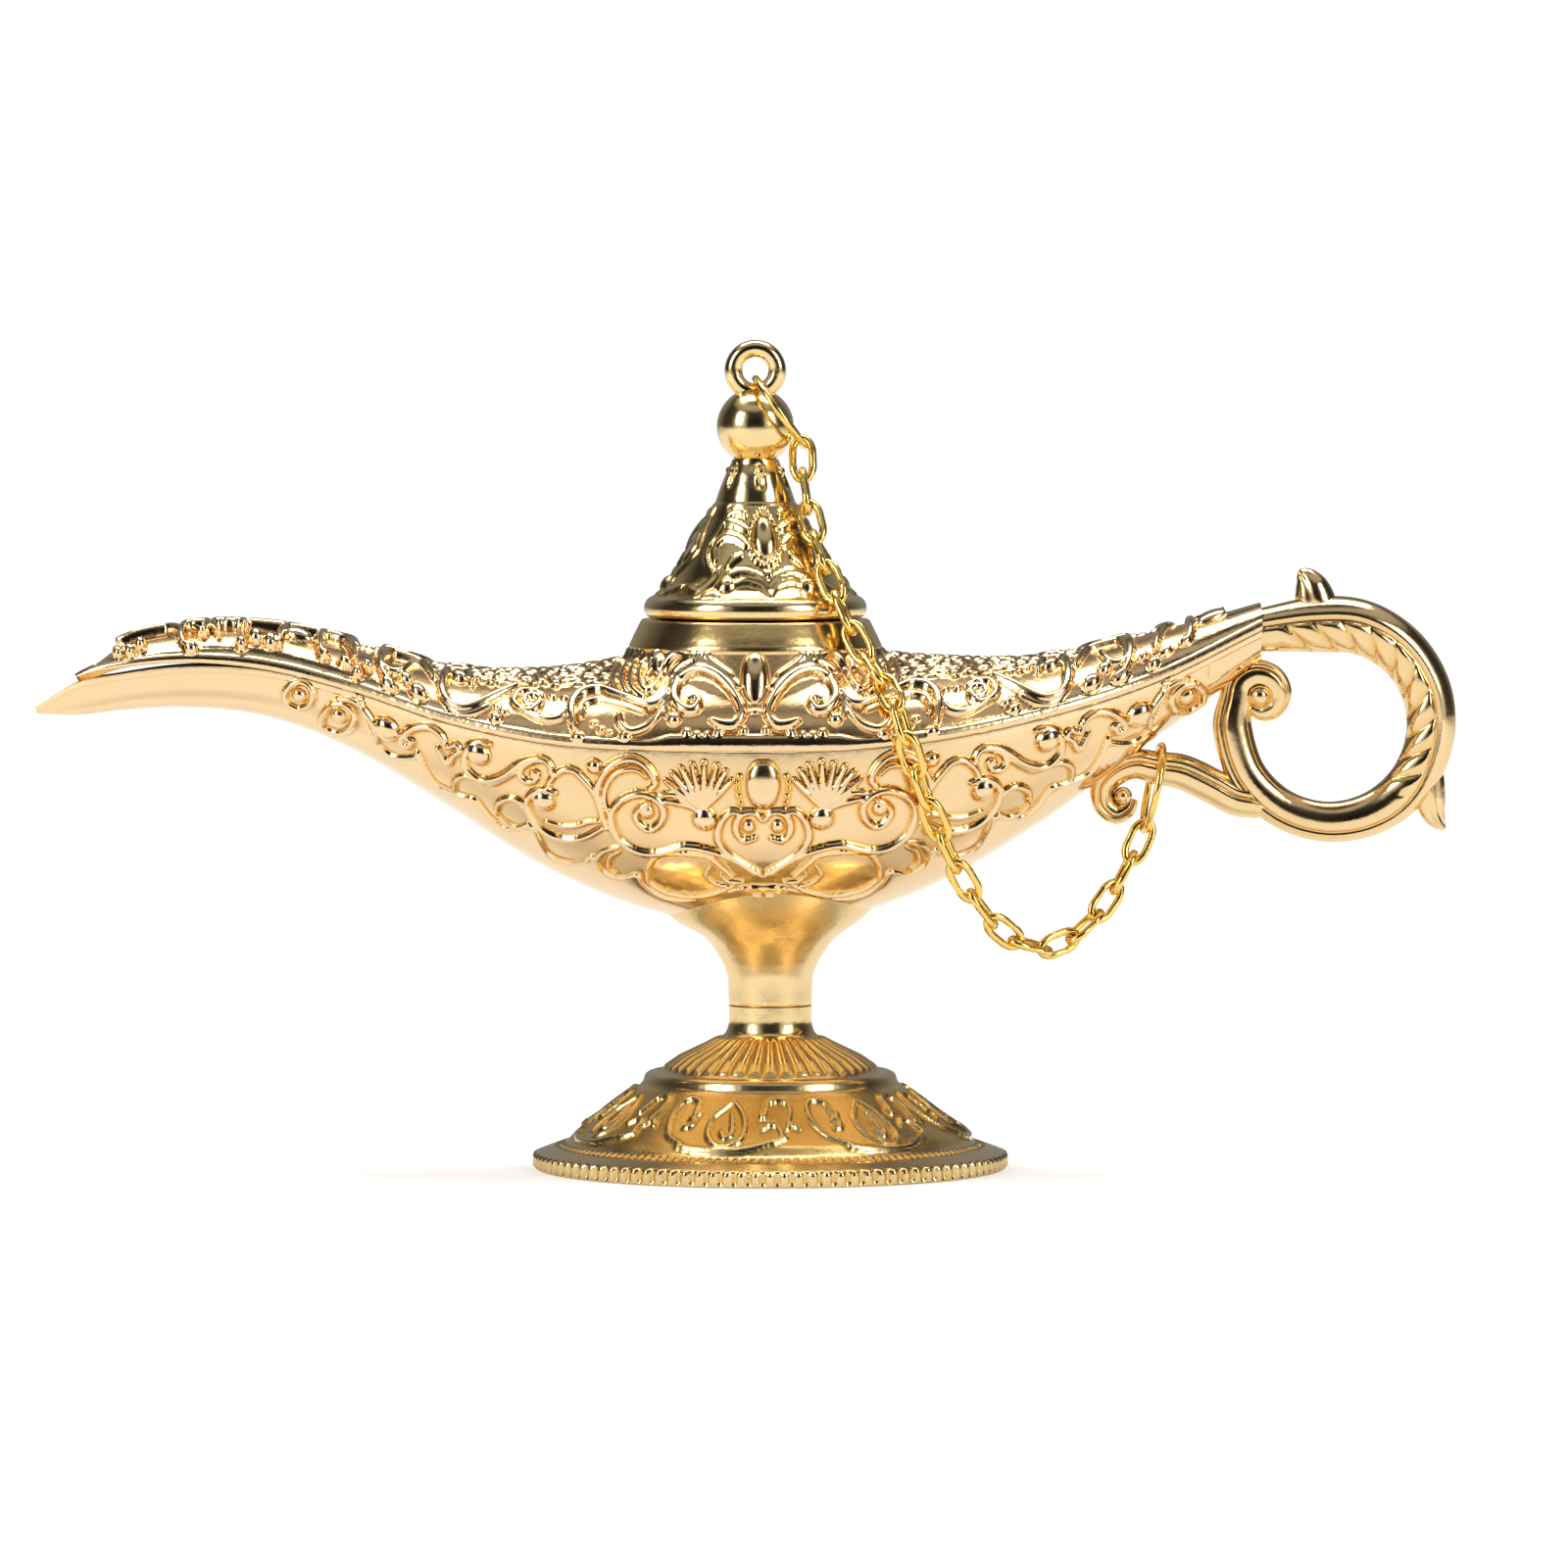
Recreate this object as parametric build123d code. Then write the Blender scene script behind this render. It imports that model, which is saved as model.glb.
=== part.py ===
from build123d import *
from math import atan2, cos, degrees, radians, sin
import os

# A footed oil lamp of gold-plated cast metal: a boat-shaped bowl with a long spout on one side
# and a scrolled ring handle on the other, a conical lid, and a chain from the lid to the handle.
# Origin: centre of the foot's resting face. +Z up, +X to the handle, -X to the spout, -Y the front.

# overall
spout_reach = 108.4
tail_reach = 72.4
body_half_width = 24.5
seam_height = 62.6
spout_lift = 12.1
tail_lift = 17.0
bowl_depth = 27.2
crown_height = 15.2
overrun = 4.0

# body shells
shell_wall = 1.7
spout_wall = 1.4
brim_overhang = 0.8
collar_radius = 18.2
collar_top_radius = 16.9
collar_rise = 18.7
collar_base_rise = 13.8
collar_skirt_radius = 21.8
collar_skirt_drop = 6.5
collar_top = seam_height + collar_rise
collar_bottom = seam_height + collar_base_rise
collar_bore = 14.4
mouth_half_width = 2.6
mouth_floor_rise = 6.5
mouth_roof_rise = 11.5
mouth_floor = seam_height + mouth_floor_rise
mouth_roof = seam_height + mouth_roof_rise
mouth_overshoot = 4.0
cavity_end = 50.0
boss_reach = 31.0
boss_radius = 2.8
boss_inset = 2.6
boss_drop = 8.0
boss_rise = 6.0
peg_radius = 1.2
peg_length = 5.0
peg_clearance = 0.12
peg_end_gap = 0.5
round_share = 0.5523

# stem, foot and the screw that joins them
stem_joint = 24.0
stem_radius = 6.2
stem_flare_radius = 13.0
stem_flare_sink = 3.2
stem_waist_share = 0.31
stem_flare_top = seam_height - bowl_depth + stem_flare_sink
stem_waist_top = stem_joint + (stem_flare_top - stem_joint) * stem_waist_share
stem_flare_shares = ((0.20, 0.30), (0.56, 0.64), (1.00, 1.00))
stem_spigot_radius = 4.2
stem_spigot_length = 3.2
spigot_clearance = 0.1
foot_radius = 34.9
rim_height = 2.4
skirt_radius = 29.7
skirt_base = 4.2
skirt_hollow = 1.0
step_radius = 18.7
step_height = 12.9
step_band = 1.4
dome_radius = 16.1
dome_knee_radius = 12.4
dome_knee_height = 17.0
collar_height = 4.8
foot_wall = 2.0
foot_floor_radius = 9.5
screw_radius = 2.0
screw_clearance = 0.25
screw_length = 14.0
screw_head_radius = 3.6
screw_head_height = 2.2
screw_slot_width = 0.9
screw_slot_depth = 1.0
washer_radius = 5.4
washer_thickness = 0.8
floor_thickness = 3.0

# lid
lid_offset = -2.2
lid_gap = 0.2
lid_rim_radius = 16.45
lid_rim_height = 2.9
lid_bevel_share = 0.33
lid_cone_radius = 14.2
lid_shoulder_radius = 6.3
lid_shoulder_rise = 16.9
lid_shoulder_height = collar_top + lid_shoulder_rise
lid_band_radius = 5.4
lid_neck_radius = 3.2
lid_neck_rise = 6.4
lid_neck_height = lid_shoulder_height + lid_neck_rise
lid_wall = 1.8
plug_radius = 14.0
plug_wall = 1.5
plug_depth = 4.2
ball_radius = 5.7
ball_rise = 5.0
ball_height = lid_neck_height + ball_rise
eye_diameter = 9.0
eye_wire = 2.6
eye_height = ball_height + ball_radius + eye_wire

# handle
loop_setback = 10.6
loop_drop = 13.7
loop_centre_x = tail_reach + loop_setback
loop_centre_z = seam_height + tail_lift - loop_drop
loop_radius = 14.7
tenon_length = 9.0
tenon_half_height = 2.0
tenon_half_width = 1.8
tenon_clearance = 0.08
tenon_slope = 24.0
pin_radius = 1.0
pin_length = 5.4
pin_setback = 5.0
curl_ball_radius = 2.0
volute_ball_radius = 1.7
ring_place_shares = (-1.72, -0.29)
bar_sides = 10
bar_depth_share = 0.95
button_half_length = 2.7
root_row_shares = (-0.80, 0.92, 0.21)
loop_start = 100.0
loop_step = 27.5
loop_thick_shares = (0.28, 0.28, 0.265, 0.255, 0.245, 0.23, 0.215, 0.20, 0.20, 0.205, 0.205)
curl_place_shares = (-0.73, 0.27)
curl_radius_share = 0.21
curl_start = 190.0
curl_step = 45.0
curl_thick_shares = (0.17, 0.15, 0.13, 0.115, 0.10, 0.08)
strut_row_shares = (
    (-0.80, -0.78, 0.17), (-0.98, -0.76, 0.175), (-1.20, -0.64, 0.18), (-1.50, -0.50, 0.18),
    (-1.75, -0.46, 0.17), (-1.97, -0.42, 0.155), (-2.16, -0.49, 0.14), (-2.30, -0.64, 0.125),
    (-2.29, -0.82, 0.115), (-2.17, -0.92, 0.105), (-2.05, -0.86, 0.08),
)
crest_row_shares = ((-0.10, 1.18, 0.18), (-0.18, 1.42, 0.11), (-0.27, 1.55, 0.04))
fin_row_shares = ((0.97, -0.55, 0.17), (1.06, -0.82, 0.13), (1.14, -1.07, 0.04))
curl_ball_shares = (-0.73, 0.27)
volute_ball_shares = (-2.06, -0.70)

# chain
link_count = 23
link_wire = 1.05
link_width = 4.0
link_pitch = 5.2
link_clearance = 0.4
link_turns = 4
ring_wire = 1.0
ring_turns = 8
top_ring_diameter = 13.5
handle_ring_diameter = 14.0
chain_standoff = 2.4
ring_seat_gap = 0.25
roll_drift = 50.0
top_ring_lean = 36.0
top_ring_pull = 5.0
handle_ring_lean = 11.0
handle_ring_pull = 15.0
brim_place = 19.9
facet_share = 0.2929
shoulder_turn = 37.0
shoulder_standoff = 3.6
shoulder_drop = 1.2
rim_turn = 47.0
crown_standoff = 3.2
crown_place_shares = ((0.72, 0.70), (0.87, 0.88))
walk_step = 0.005
halvings = 20


# Each station of the body is a plane across X. Its shares say how far out it lies, how wide the
# seam is there, how much the seam has risen, how deep the bowl hangs and how high the crown stands.
spout_station_shares = (
    (1.000, 0.030, 0.470, 0.040, 0.010),
    (0.944, 0.150, 0.770, 0.180, 0.030),
    (0.885, 0.212, 0.880, 0.203, 0.300),
    (0.800, 0.255, 0.980, 0.232, 0.360),
    (0.690, 0.305, 0.955, 0.268, 0.385),
    (0.570, 0.425, 0.690, 0.330, 0.425),
    (0.440, 0.628, 0.325, 0.475, 0.505),
    (0.310, 0.825, 0.105, 0.705, 0.650),
    (0.120, 0.980, 0.008, 0.945, 0.925),
)
tail_station_shares = (
    (0.090, 0.990, 0.005, 0.970, 0.960),
    (0.330, 0.870, 0.090, 0.820, 0.760),
    (0.560, 0.630, 0.275, 0.580, 0.560),
    (0.780, 0.365, 0.560, 0.325, 0.475),
    (1.000, 0.180, 1.000, 0.170, 0.270),
)


class Station:
    # one cross-section of the body: where it stands, its seam, keel and crown heights, half width
    def __init__(self, x, lift, width_share, lift_share, depth_share, crown_share):
        self.x = x
        self.half_width = body_half_width * width_share
        self.seam = seam_height + lift * lift_share
        self.keel = self.seam - bowl_depth * depth_share
        self.crown = self.seam + crown_height * crown_share


def body_stations():
    spout = [Station(-spout_reach * row[0], spout_lift, *row[1:]) for row in spout_station_shares]
    tail = [Station(tail_reach * row[0], tail_lift, *row[1:]) for row in tail_station_shares]
    return spout + tail


stations = body_stations()


def half_oval(half_width, level, reach):
    # half an ellipse as two cubic quarters, from +half_width over or under to -half_width
    bulge = level + round_share * reach
    inset = round_share * half_width
    top = level + reach
    return [
        Bezier((half_width, level), (half_width, bulge), (inset, top), (0, top)),
        Bezier((0, top), (-inset, top), (-half_width, bulge), (-half_width, level)),
    ]


def section(x, edges):
    return Plane(origin=(x, 0, 0), x_dir=(0, 1, 0), z_dir=(1, 0, 0)) * make_face(Curve() + edges)


def lower_outer():
    faces = []
    for s in stations:
        top = s.seam + overrun
        edges = [Line((s.half_width, top), (s.half_width, s.seam))]
        edges += half_oval(s.half_width, s.seam, s.keel - s.seam)
        edges += [Line((-s.half_width, s.seam), (-s.half_width, top))]
        edges += [Line((-s.half_width, top), (s.half_width, top))]
        faces.append(section(s.x, edges))
    return loft(faces, ruled=True)


def upper_outer():
    faces = []
    for s in stations[1:]:
        half_width = s.half_width + brim_overhang
        low = s.seam - overrun
        edges = [Line((half_width, low), (half_width, s.seam))]
        edges += half_oval(half_width, s.seam, s.crown - s.seam)
        edges += [Line((-half_width, s.seam), (-half_width, low))]
        edges += [Line((-half_width, low), (half_width, low))]
        faces.append(section(s.x, edges))
    return loft(faces, ruled=True)


def cavity():
    # the hollow of both halves: it leaves through the spout's mouth and ends before the tail
    mouth_x = -(spout_reach + mouth_overshoot)
    mouth_seam = (mouth_floor + mouth_roof) / 2
    faces = []
    for x in (mouth_x, stations[1].x):
        edges = half_oval(mouth_half_width, mouth_seam, mouth_floor - mouth_seam)
        edges += half_oval(mouth_half_width, mouth_seam, mouth_roof - mouth_seam)
        faces.append(section(x, edges))
    for s in stations[2:]:
        if s.x > cavity_end:
            break
        wall = spout_wall if s.half_width < body_half_width / 2 else shell_wall
        half_width = s.half_width - wall
        edges = half_oval(half_width, s.seam, s.keel + wall - s.seam)
        edges += half_oval(half_width, s.seam, s.crown - wall - s.seam)
        faces.append(section(s.x, edges))
    return loft(faces, ruled=True)


def below_seam():
    # everything under the curved parting line between the two halves of the body
    left, right = stations[0], stations[-1]
    edges = outline(*[(s.x, s.seam) for s in stations])
    edges += [
        Line((right.x, right.seam), (right.x + overrun, right.seam)),
        Line((right.x + overrun, right.seam), (right.x + overrun, -overrun)),
        Line((right.x + overrun, -overrun), (left.x - overrun, -overrun)),
        Line((left.x - overrun, -overrun), (left.x - overrun, left.seam)),
        Line((left.x - overrun, left.seam), (left.x, left.seam)),
    ]
    face = Plane.XZ * make_face(Curve() + edges)
    return extrude(face, body_half_width + overrun, both=True)


def seam_at(x):
    # the seam's height between two stations, taken in a straight line
    for a, b in zip(stations, stations[1:]):
        if a.x <= x <= b.x:
            return a.seam + (b.seam - a.seam) * (x - a.x) / (b.x - a.x)


def width_at(x):
    for a, b in zip(stations, stations[1:]):
        if a.x <= x <= b.x:
            return a.half_width + (b.half_width - a.half_width) * (x - a.x) / (b.x - a.x)


def post(x, y, bottom, top, radius):
    return Pos(x, y, bottom) * Cylinder(radius, top - bottom, align=(Align.CENTER, Align.CENTER, Align.MIN))


def revolved(edges):
    # a closed outline of radius and height, turned about Z
    return revolve(Plane.XZ * make_face(Curve() + edges), Axis.Z)


def outline(*points):
    return [Line(a, b) for a, b in zip(points, points[1:])]


boss_places = [
    (x, side * (width_at(x) - boss_inset)) for x, side in ((-boss_reach, 1), (boss_reach, -1))
]
socket_plane = Plane(
    origin=(tail_reach, 0, (stations[-1].keel + stations[-1].crown) / 2),
    x_dir=(0, 1, 0),
    z_dir=(-cos(radians(tenon_slope)), 0, -sin(radians(tenon_slope))),
)


def tenon(clearance):
    # the tongue of the handle, or with a clearance the socket that it sits in
    block = Box(
        (tenon_half_width + clearance) * 2,
        (tenon_half_height + clearance) * 2,
        tenon_length + clearance,
        align=(Align.CENTER, Align.CENTER, Align.MIN),
    )
    return socket_plane * block


pin_place = socket_plane.from_local_coords(Vector(0, 0, pin_setback))


def pin_post(radius, length):
    return Pos(pin_place) * Cylinder(radius, length)


def stem():
    # the waist under the bowl, flaring out into it, with the spigot that centres it on the foot
    spread = stem_flare_radius - stem_radius
    rise = stem_flare_top - stem_waist_top
    flare = [
        (stem_radius + spread * out_share, stem_waist_top + rise * up_share)
        for out_share, up_share in stem_flare_shares
    ]
    edges = outline(
        (0, stem_joint), (stem_radius, stem_joint), (stem_radius, stem_waist_top), *flare,
        (0, stem_flare_top), (0, stem_joint),
    )
    spigot = post(0, 0, stem_joint - stem_spigot_length, stem_joint, stem_spigot_radius)
    return revolved(edges) + spigot


def make_lower_body(outer, hollow, under):
    body = outer & under
    body = body + stem()
    body = body - hollow
    for x, y in boss_places:
        top = seam_at(x)
        body = body + (post(x, y, top - boss_drop, top + overrun, boss_radius) & under & outer)
    for x, y in boss_places:
        top = seam_at(x)
        body = body - post(x, y, top - peg_length - peg_end_gap, top + overrun, peg_radius + peg_clearance)
    screw_tip = stem_joint - stem_spigot_length - floor_thickness + screw_length
    body = body - post(0, 0, stem_joint - stem_spigot_length, screw_tip, screw_radius)
    return body - tenon(tenon_clearance) - pin_post(pin_radius, pin_length)


def make_upper_body(outer, hollow, under):
    skirt_bottom = collar_bottom - collar_skirt_drop
    collar = Pos(lid_offset, 0, 0) * revolved(
        outline(
            (0, skirt_bottom), (collar_skirt_radius, skirt_bottom), (collar_radius, collar_bottom),
            (collar_radius, collar_bottom + shell_wall), (collar_top_radius, collar_top),
            (0, collar_top), (0, skirt_bottom),
        )
    )
    body = outer - under + collar - hollow
    for x, y in boss_places:
        base = seam_at(x)
        body = body + ((post(x, y, base - overrun, base + boss_rise, boss_radius) - under) & outer)
        body = body + post(x, y, base - peg_length, base + boss_rise / 2, peg_radius)
    bore = post(lid_offset, 0, seam_height + boss_rise, collar_top + overrun, collar_bore)
    return body - bore - tenon(tenon_clearance) - pin_post(pin_radius, pin_length)


def make_foot():
    dome_base = step_height + step_band
    under_collar = stem_joint - collar_height
    edges = outline(
        (foot_radius, 0), (foot_radius, rim_height), (skirt_radius, skirt_base),
    )
    middle = ((skirt_radius + step_radius) / 2, (skirt_base + step_height) / 2 - skirt_hollow)
    edges.append(Bezier((skirt_radius, skirt_base), middle, (step_radius, step_height)))
    edges += outline(
        (step_radius, step_height), (step_radius, dome_base), (dome_radius, dome_base),
        (dome_knee_radius, dome_knee_height), (stem_radius, under_collar),
    )
    inner_step = step_radius - foot_wall
    inner_skirt = skirt_radius - foot_wall / 2
    floor = stem_joint - stem_spigot_length - floor_thickness
    edges += outline(
        (stem_radius, under_collar), (stem_radius, stem_joint), (0, stem_joint), (0, floor),
        (foot_floor_radius - foot_wall, floor), (inner_step - foot_wall, step_height - foot_wall / 2),
        (inner_step, step_height - foot_wall), (inner_skirt, rim_height), (foot_radius - foot_wall, 0),
        (foot_radius, 0),
    )
    body = revolved(edges)
    spigot_floor = stem_joint - stem_spigot_length
    body = body - post(0, 0, spigot_floor, stem_joint + overrun, stem_spigot_radius + spigot_clearance)
    return body - post(0, 0, -overrun, stem_joint, screw_radius + screw_clearance)


def make_washer():
    top = stem_joint - stem_spigot_length - floor_thickness
    disc = post(0, 0, top - washer_thickness, top, washer_radius)
    return disc - post(0, 0, -overrun, stem_joint, screw_radius + screw_clearance)


def make_screw():
    seat = stem_joint - stem_spigot_length - floor_thickness - washer_thickness
    head = post(0, 0, seat - screw_head_height, seat, screw_head_radius)
    shank = post(0, 0, seat, seat + washer_thickness + screw_length, screw_radius)
    slot = Pos(0, 0, seat - screw_head_height) * Box(
        screw_head_radius * 2 + overrun, screw_slot_width, screw_slot_depth * 2
    )
    return head + shank - slot


def make_lid():
    base = collar_top + lid_gap
    rim_top = base + lid_rim_height
    bevel = lid_rim_height * lid_bevel_share
    cone = Bezier(
        (lid_cone_radius, rim_top),
        (lid_cone_radius - lid_rim_height * 2, rim_top + lid_rim_height),
        (lid_shoulder_radius + lid_wall, (rim_top + lid_shoulder_height) / 2),
        (lid_shoulder_radius, lid_shoulder_height),
    )
    edges = outline(
        (0, base), (lid_rim_radius - bevel, base), (lid_rim_radius, base + bevel),
        (lid_rim_radius, rim_top - bevel), (lid_rim_radius - bevel, rim_top), (lid_cone_radius, rim_top),
    )
    edges.append(cone)
    edges += outline(
        (lid_shoulder_radius, lid_shoulder_height), (lid_band_radius, lid_shoulder_height),
        (lid_neck_radius, lid_neck_height), (lid_neck_radius, ball_height), (0, ball_height), (0, base),
    )
    inner_base = plug_radius - plug_wall
    hollow = outline(
        (0, base - plug_depth - overrun), (inner_base, base - plug_depth - overrun), (inner_base, base),
        (lid_shoulder_radius, rim_top + lid_rim_height), (lid_band_radius - lid_wall, lid_shoulder_height),
        (0, lid_shoulder_height), (0, base - plug_depth - overrun),
    )
    plug = post(0, 0, base - plug_depth, base, plug_radius)
    body = revolved(edges) + plug - revolved(hollow)
    eye = wire_oval(eye_diameter, eye_diameter, eye_wire, ring_turns)
    body = body + Pos(0, 0, ball_height) * Sphere(ball_radius)
    body = body + Pos(0, 0, eye_height) * Rot(90, 0, 0) * eye
    return Pos(lid_offset, 0, 0) * body


def horn(places):
    # a tapering cast bar: oval sections across a path of (x, z, half height, half depth) places
    faces = []
    for i, (x, z, half_height, half_depth) in enumerate(places):
        before = places[max(i - 1, 0)]
        after = places[min(i + 1, len(places) - 1)]
        along = Vector(after[0] - before[0], 0, after[1] - before[1])
        plane = Plane(origin=(x, 0, z), x_dir=(0, 1, 0), z_dir=along)
        turns = [radians(360 * (corner + 1 / 2) / bar_sides) for corner in range(bar_sides)]
        corners = [(half_depth * cos(turn), half_height * sin(turn)) for turn in turns]
        faces.append(plane * make_face(Polyline(corners, close=True)))
    return loft(faces, ruled=True)


def handle_bar(rows):
    # rows of shares of the loop's radius: place from the loop's centre, then half the thickness
    places = []
    for across_share, up_share, thick_share in rows:
        half_height = loop_radius * thick_share
        places.append((
            loop_centre_x + loop_radius * across_share,
            loop_centre_z + loop_radius * up_share,
            half_height,
            half_height * bar_depth_share,
        ))
    return horn(places)


def loop_rows():
    # the ring of the handle, from the tail over the top and round to the arm under the tail
    rows = [root_row_shares]
    for i, thick_share in enumerate(loop_thick_shares):
        turn = radians(loop_start - i * loop_step)
        rows.append((cos(turn), sin(turn), thick_share))
    for i, thick_share in enumerate(curl_thick_shares):
        turn = radians(curl_start - i * curl_step)
        rows.append((
            curl_place_shares[0] + curl_radius_share * cos(turn),
            curl_place_shares[1] + curl_radius_share * sin(turn),
            thick_share,
        ))
    return rows


def handle_place(shares):
    return Pos(loop_centre_x + loop_radius * shares[0], 0, loop_centre_z + loop_radius * shares[1])


def button(radius):
    # the boss in the eye of a scroll: a short bar across the handle with bevelled ends
    bar = extrude(Plane.XZ * RegularPolygon(radius, bar_sides), button_half_length, both=True)
    return chamfer(bar.edges().filter_by(lambda e: abs(e.tangent_at(0).Y) < 1 / 2), radius / 2)


def make_handle(body):
    bar = handle_bar(loop_rows()) + handle_bar(strut_row_shares)
    bar = bar + handle_bar(crest_row_shares) + handle_bar(fin_row_shares)
    bar = bar + handle_place(curl_ball_shares) * button(curl_ball_radius)
    bar = bar + handle_place(volute_ball_shares) * button(volute_ball_radius)
    bar = bar - body
    return bar + tenon(0) - pin_post(pin_radius, pin_length)


def oval_outline(length, width, turns):
    # a link seen flat: two half rounds of straight steps, joined by the sides
    points = []
    for end in (1, -1):
        for i in range(turns + 1):
            turn = radians(180 * i / turns - 90)
            points.append((
                end * ((length - width) / 2 + width / 2 * cos(turn)),
                end * width / 2 * sin(turn),
            ))
    if length == width:
        points = points[:turns] + points[turns + 1:-1]
    return make_face(Polyline(points, close=True))


def wire_oval(length, width, wire, turns):
    # a closed link of eight-sided wire, flat in XY, with its long way along X
    flat = oval_outline(length, width, turns) - oval_outline(length - 2 * wire, width - 2 * wire, turns)
    band = extrude(flat, wire / 2, both=True)
    rims = band.edges().filter_by(lambda e: abs(e.tangent_at(0).Z) < 1 / 2)
    return chamfer(rims, wire * facet_share)


def unit(vector):
    return vector / vector.length


def lean(angle, pull):
    # the direction a hanging ring points: down, leaning along X and pulled towards the front
    return Vector(
        sin(radians(angle)) * cos(radians(pull)),
        -sin(radians(pull)),
        -cos(radians(angle)) * cos(radians(pull)),
    )


def square_to(direction, wanted):
    return unit(wanted - direction * wanted.dot(direction))


def roof_at(x, y):
    # the upper shell's height over a place between its stations
    for a, b in zip(stations, stations[1:]):
        if a.x <= x <= b.x:
            part = (x - a.x) / (b.x - a.x)
            seam = a.seam + (b.seam - a.seam) * part
            rise = (a.crown - a.seam) * (1 - part) + (b.crown - b.seam) * part
            half_width = a.half_width * (1 - part) + b.half_width * part + brim_overhang
            return seam + rise * max(0, 1 - (y / half_width) ** 2) ** (1 / 2)


def beside_lid(radius, turn, height):
    # a place round the lid's axis, turned from +X towards the front
    return Vector(lid_offset + radius * cos(radians(turn)), -radius * sin(radians(turn)), height)


# the rings at the chain's two ends
top_ring_way = lean(top_ring_lean, top_ring_pull)
top_ring_seat = Vector(
    lid_offset, 0, eye_height - eye_diameter / 2 + eye_wire + ring_seat_gap + ring_wire / 2
)
top_ring_centre = top_ring_seat + top_ring_way * (top_ring_diameter - ring_wire) / 2
chain_start = top_ring_centre + top_ring_way * (top_ring_diameter / 2 - ring_wire - link_clearance / 2)
handle_ring_way = lean(-handle_ring_lean, handle_ring_pull)
handle_ring_seat = Vector(
    loop_centre_x + loop_radius * ring_place_shares[0],
    0,
    loop_centre_z + loop_radius * ring_place_shares[1] + ring_seat_gap + ring_wire / 2,
)
handle_ring_centre = handle_ring_seat + handle_ring_way * (handle_ring_diameter - ring_wire) / 2
handle_ring_reach = handle_ring_diameter / 2 - ring_wire - link_clearance / 2
chain_end = handle_ring_centre + handle_ring_way * handle_ring_reach

# where the chain lies on the lamp, before it hangs free
lid_base = collar_top + lid_gap
drape = [
    chain_start,
    beside_lid(lid_shoulder_radius + shoulder_standoff, shoulder_turn, lid_shoulder_height - shoulder_drop),
    beside_lid(lid_rim_radius + chain_standoff, rim_turn, lid_base + lid_rim_height / 2),
]
for out_share, front_share in crown_place_shares:
    x, y = brim_place * out_share, -body_half_width * front_share
    drape.append(Vector(x, y, roof_at(x, y) + crown_standoff))
brim_front = width_at(brim_place) + brim_overhang + chain_standoff
drape.append(Vector(brim_place, -brim_front, seam_at(brim_place)))
drape_line = Spline(drape)


def chain_place(way, sag):
    # way 0 to 1 lies on the lamp, way 1 to 2 hangs from the brim to the handle's ring
    if way <= 1:
        return drape_line.position_at(way)
    part = way - 1
    hang = drape[-1] + (chain_end - drape[-1]) * part
    return hang - Vector(0, 0, sag * 4 * part * (1 - part))


def step_off(sag):
    # walk along the chain's line, one pitch at a time
    way, places = 0, [chain_start]
    while len(places) <= link_count:
        near, far = way, way
        while (chain_place(far, sag) - places[-1]).length < link_pitch:
            near, far = far, far + walk_step
        for _ in range(halvings):
            middle = (near + far) / 2
            if (chain_place(middle, sag) - places[-1]).length < link_pitch:
                near = middle
            else:
                far = middle
        way = far
        places.append(chain_place(way, sag))
    return way, places


def hang_chain():
    # the sag for which the last link ends in the handle's ring
    shallow, deep = 0, spout_reach
    for _ in range(halvings):
        sag = (shallow + deep) / 2
        way, places = step_off(sag)
        if way > 2:
            shallow = sag
        else:
            deep = sag
    places[-1] = chain_end
    return places


def link_planes(places):
    # each link's plane: its long way along the chain, turned a quarter from the link before
    ways = [unit(b - a) for a, b in zip(places, places[1:])]
    side = square_to(ways[0], Vector(0, 1, 0))
    sides = []
    for way in ways:
        side = square_to(way, side)
        sides.append(side)
    wanted = square_to(ways[-1], Vector(0, 1, 0))
    twist = degrees(atan2(sides[-1].cross(wanted).dot(ways[-1]), sides[-1].dot(wanted)))
    planes = []
    for i, (way, side) in enumerate(zip(ways, sides)):
        along_share = i / (link_count - 1)
        turn = 90 * (i % 2) + twist * along_share + roll_drift * sin(radians(180) * along_share)
        normal = side * cos(radians(turn)) + way.cross(side) * sin(radians(turn))
        planes.append(Plane(origin=(places[i] + places[i + 1]) / 2, x_dir=way, z_dir=normal))
    return planes


def make_chain():
    places = hang_chain()
    length = link_pitch + 2 * link_wire + link_clearance
    link = wire_oval(length, link_width, link_wire, link_turns)
    pieces = {}
    planes = link_planes(places)
    for i, plane in enumerate(planes):
        pieces[f"link_{i + 1:02d}"] = plane * link
    across_top = square_to(top_ring_way, Vector(0, 1, 0))
    ring = wire_oval(top_ring_diameter, top_ring_diameter, ring_wire, ring_turns)
    top_plane = Plane(top_ring_centre, x_dir=top_ring_way, z_dir=top_ring_way.cross(across_top))
    pieces["top_ring"] = top_plane * ring
    ring = wire_oval(handle_ring_diameter, handle_ring_diameter, ring_wire, ring_turns)
    across_end = square_to(handle_ring_way, planes[-1].z_dir)
    pieces["handle_ring"] = Plane(
        handle_ring_centre, x_dir=handle_ring_way, z_dir=handle_ring_way.cross(across_end)
    ) * ring
    return pieces, places


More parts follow.
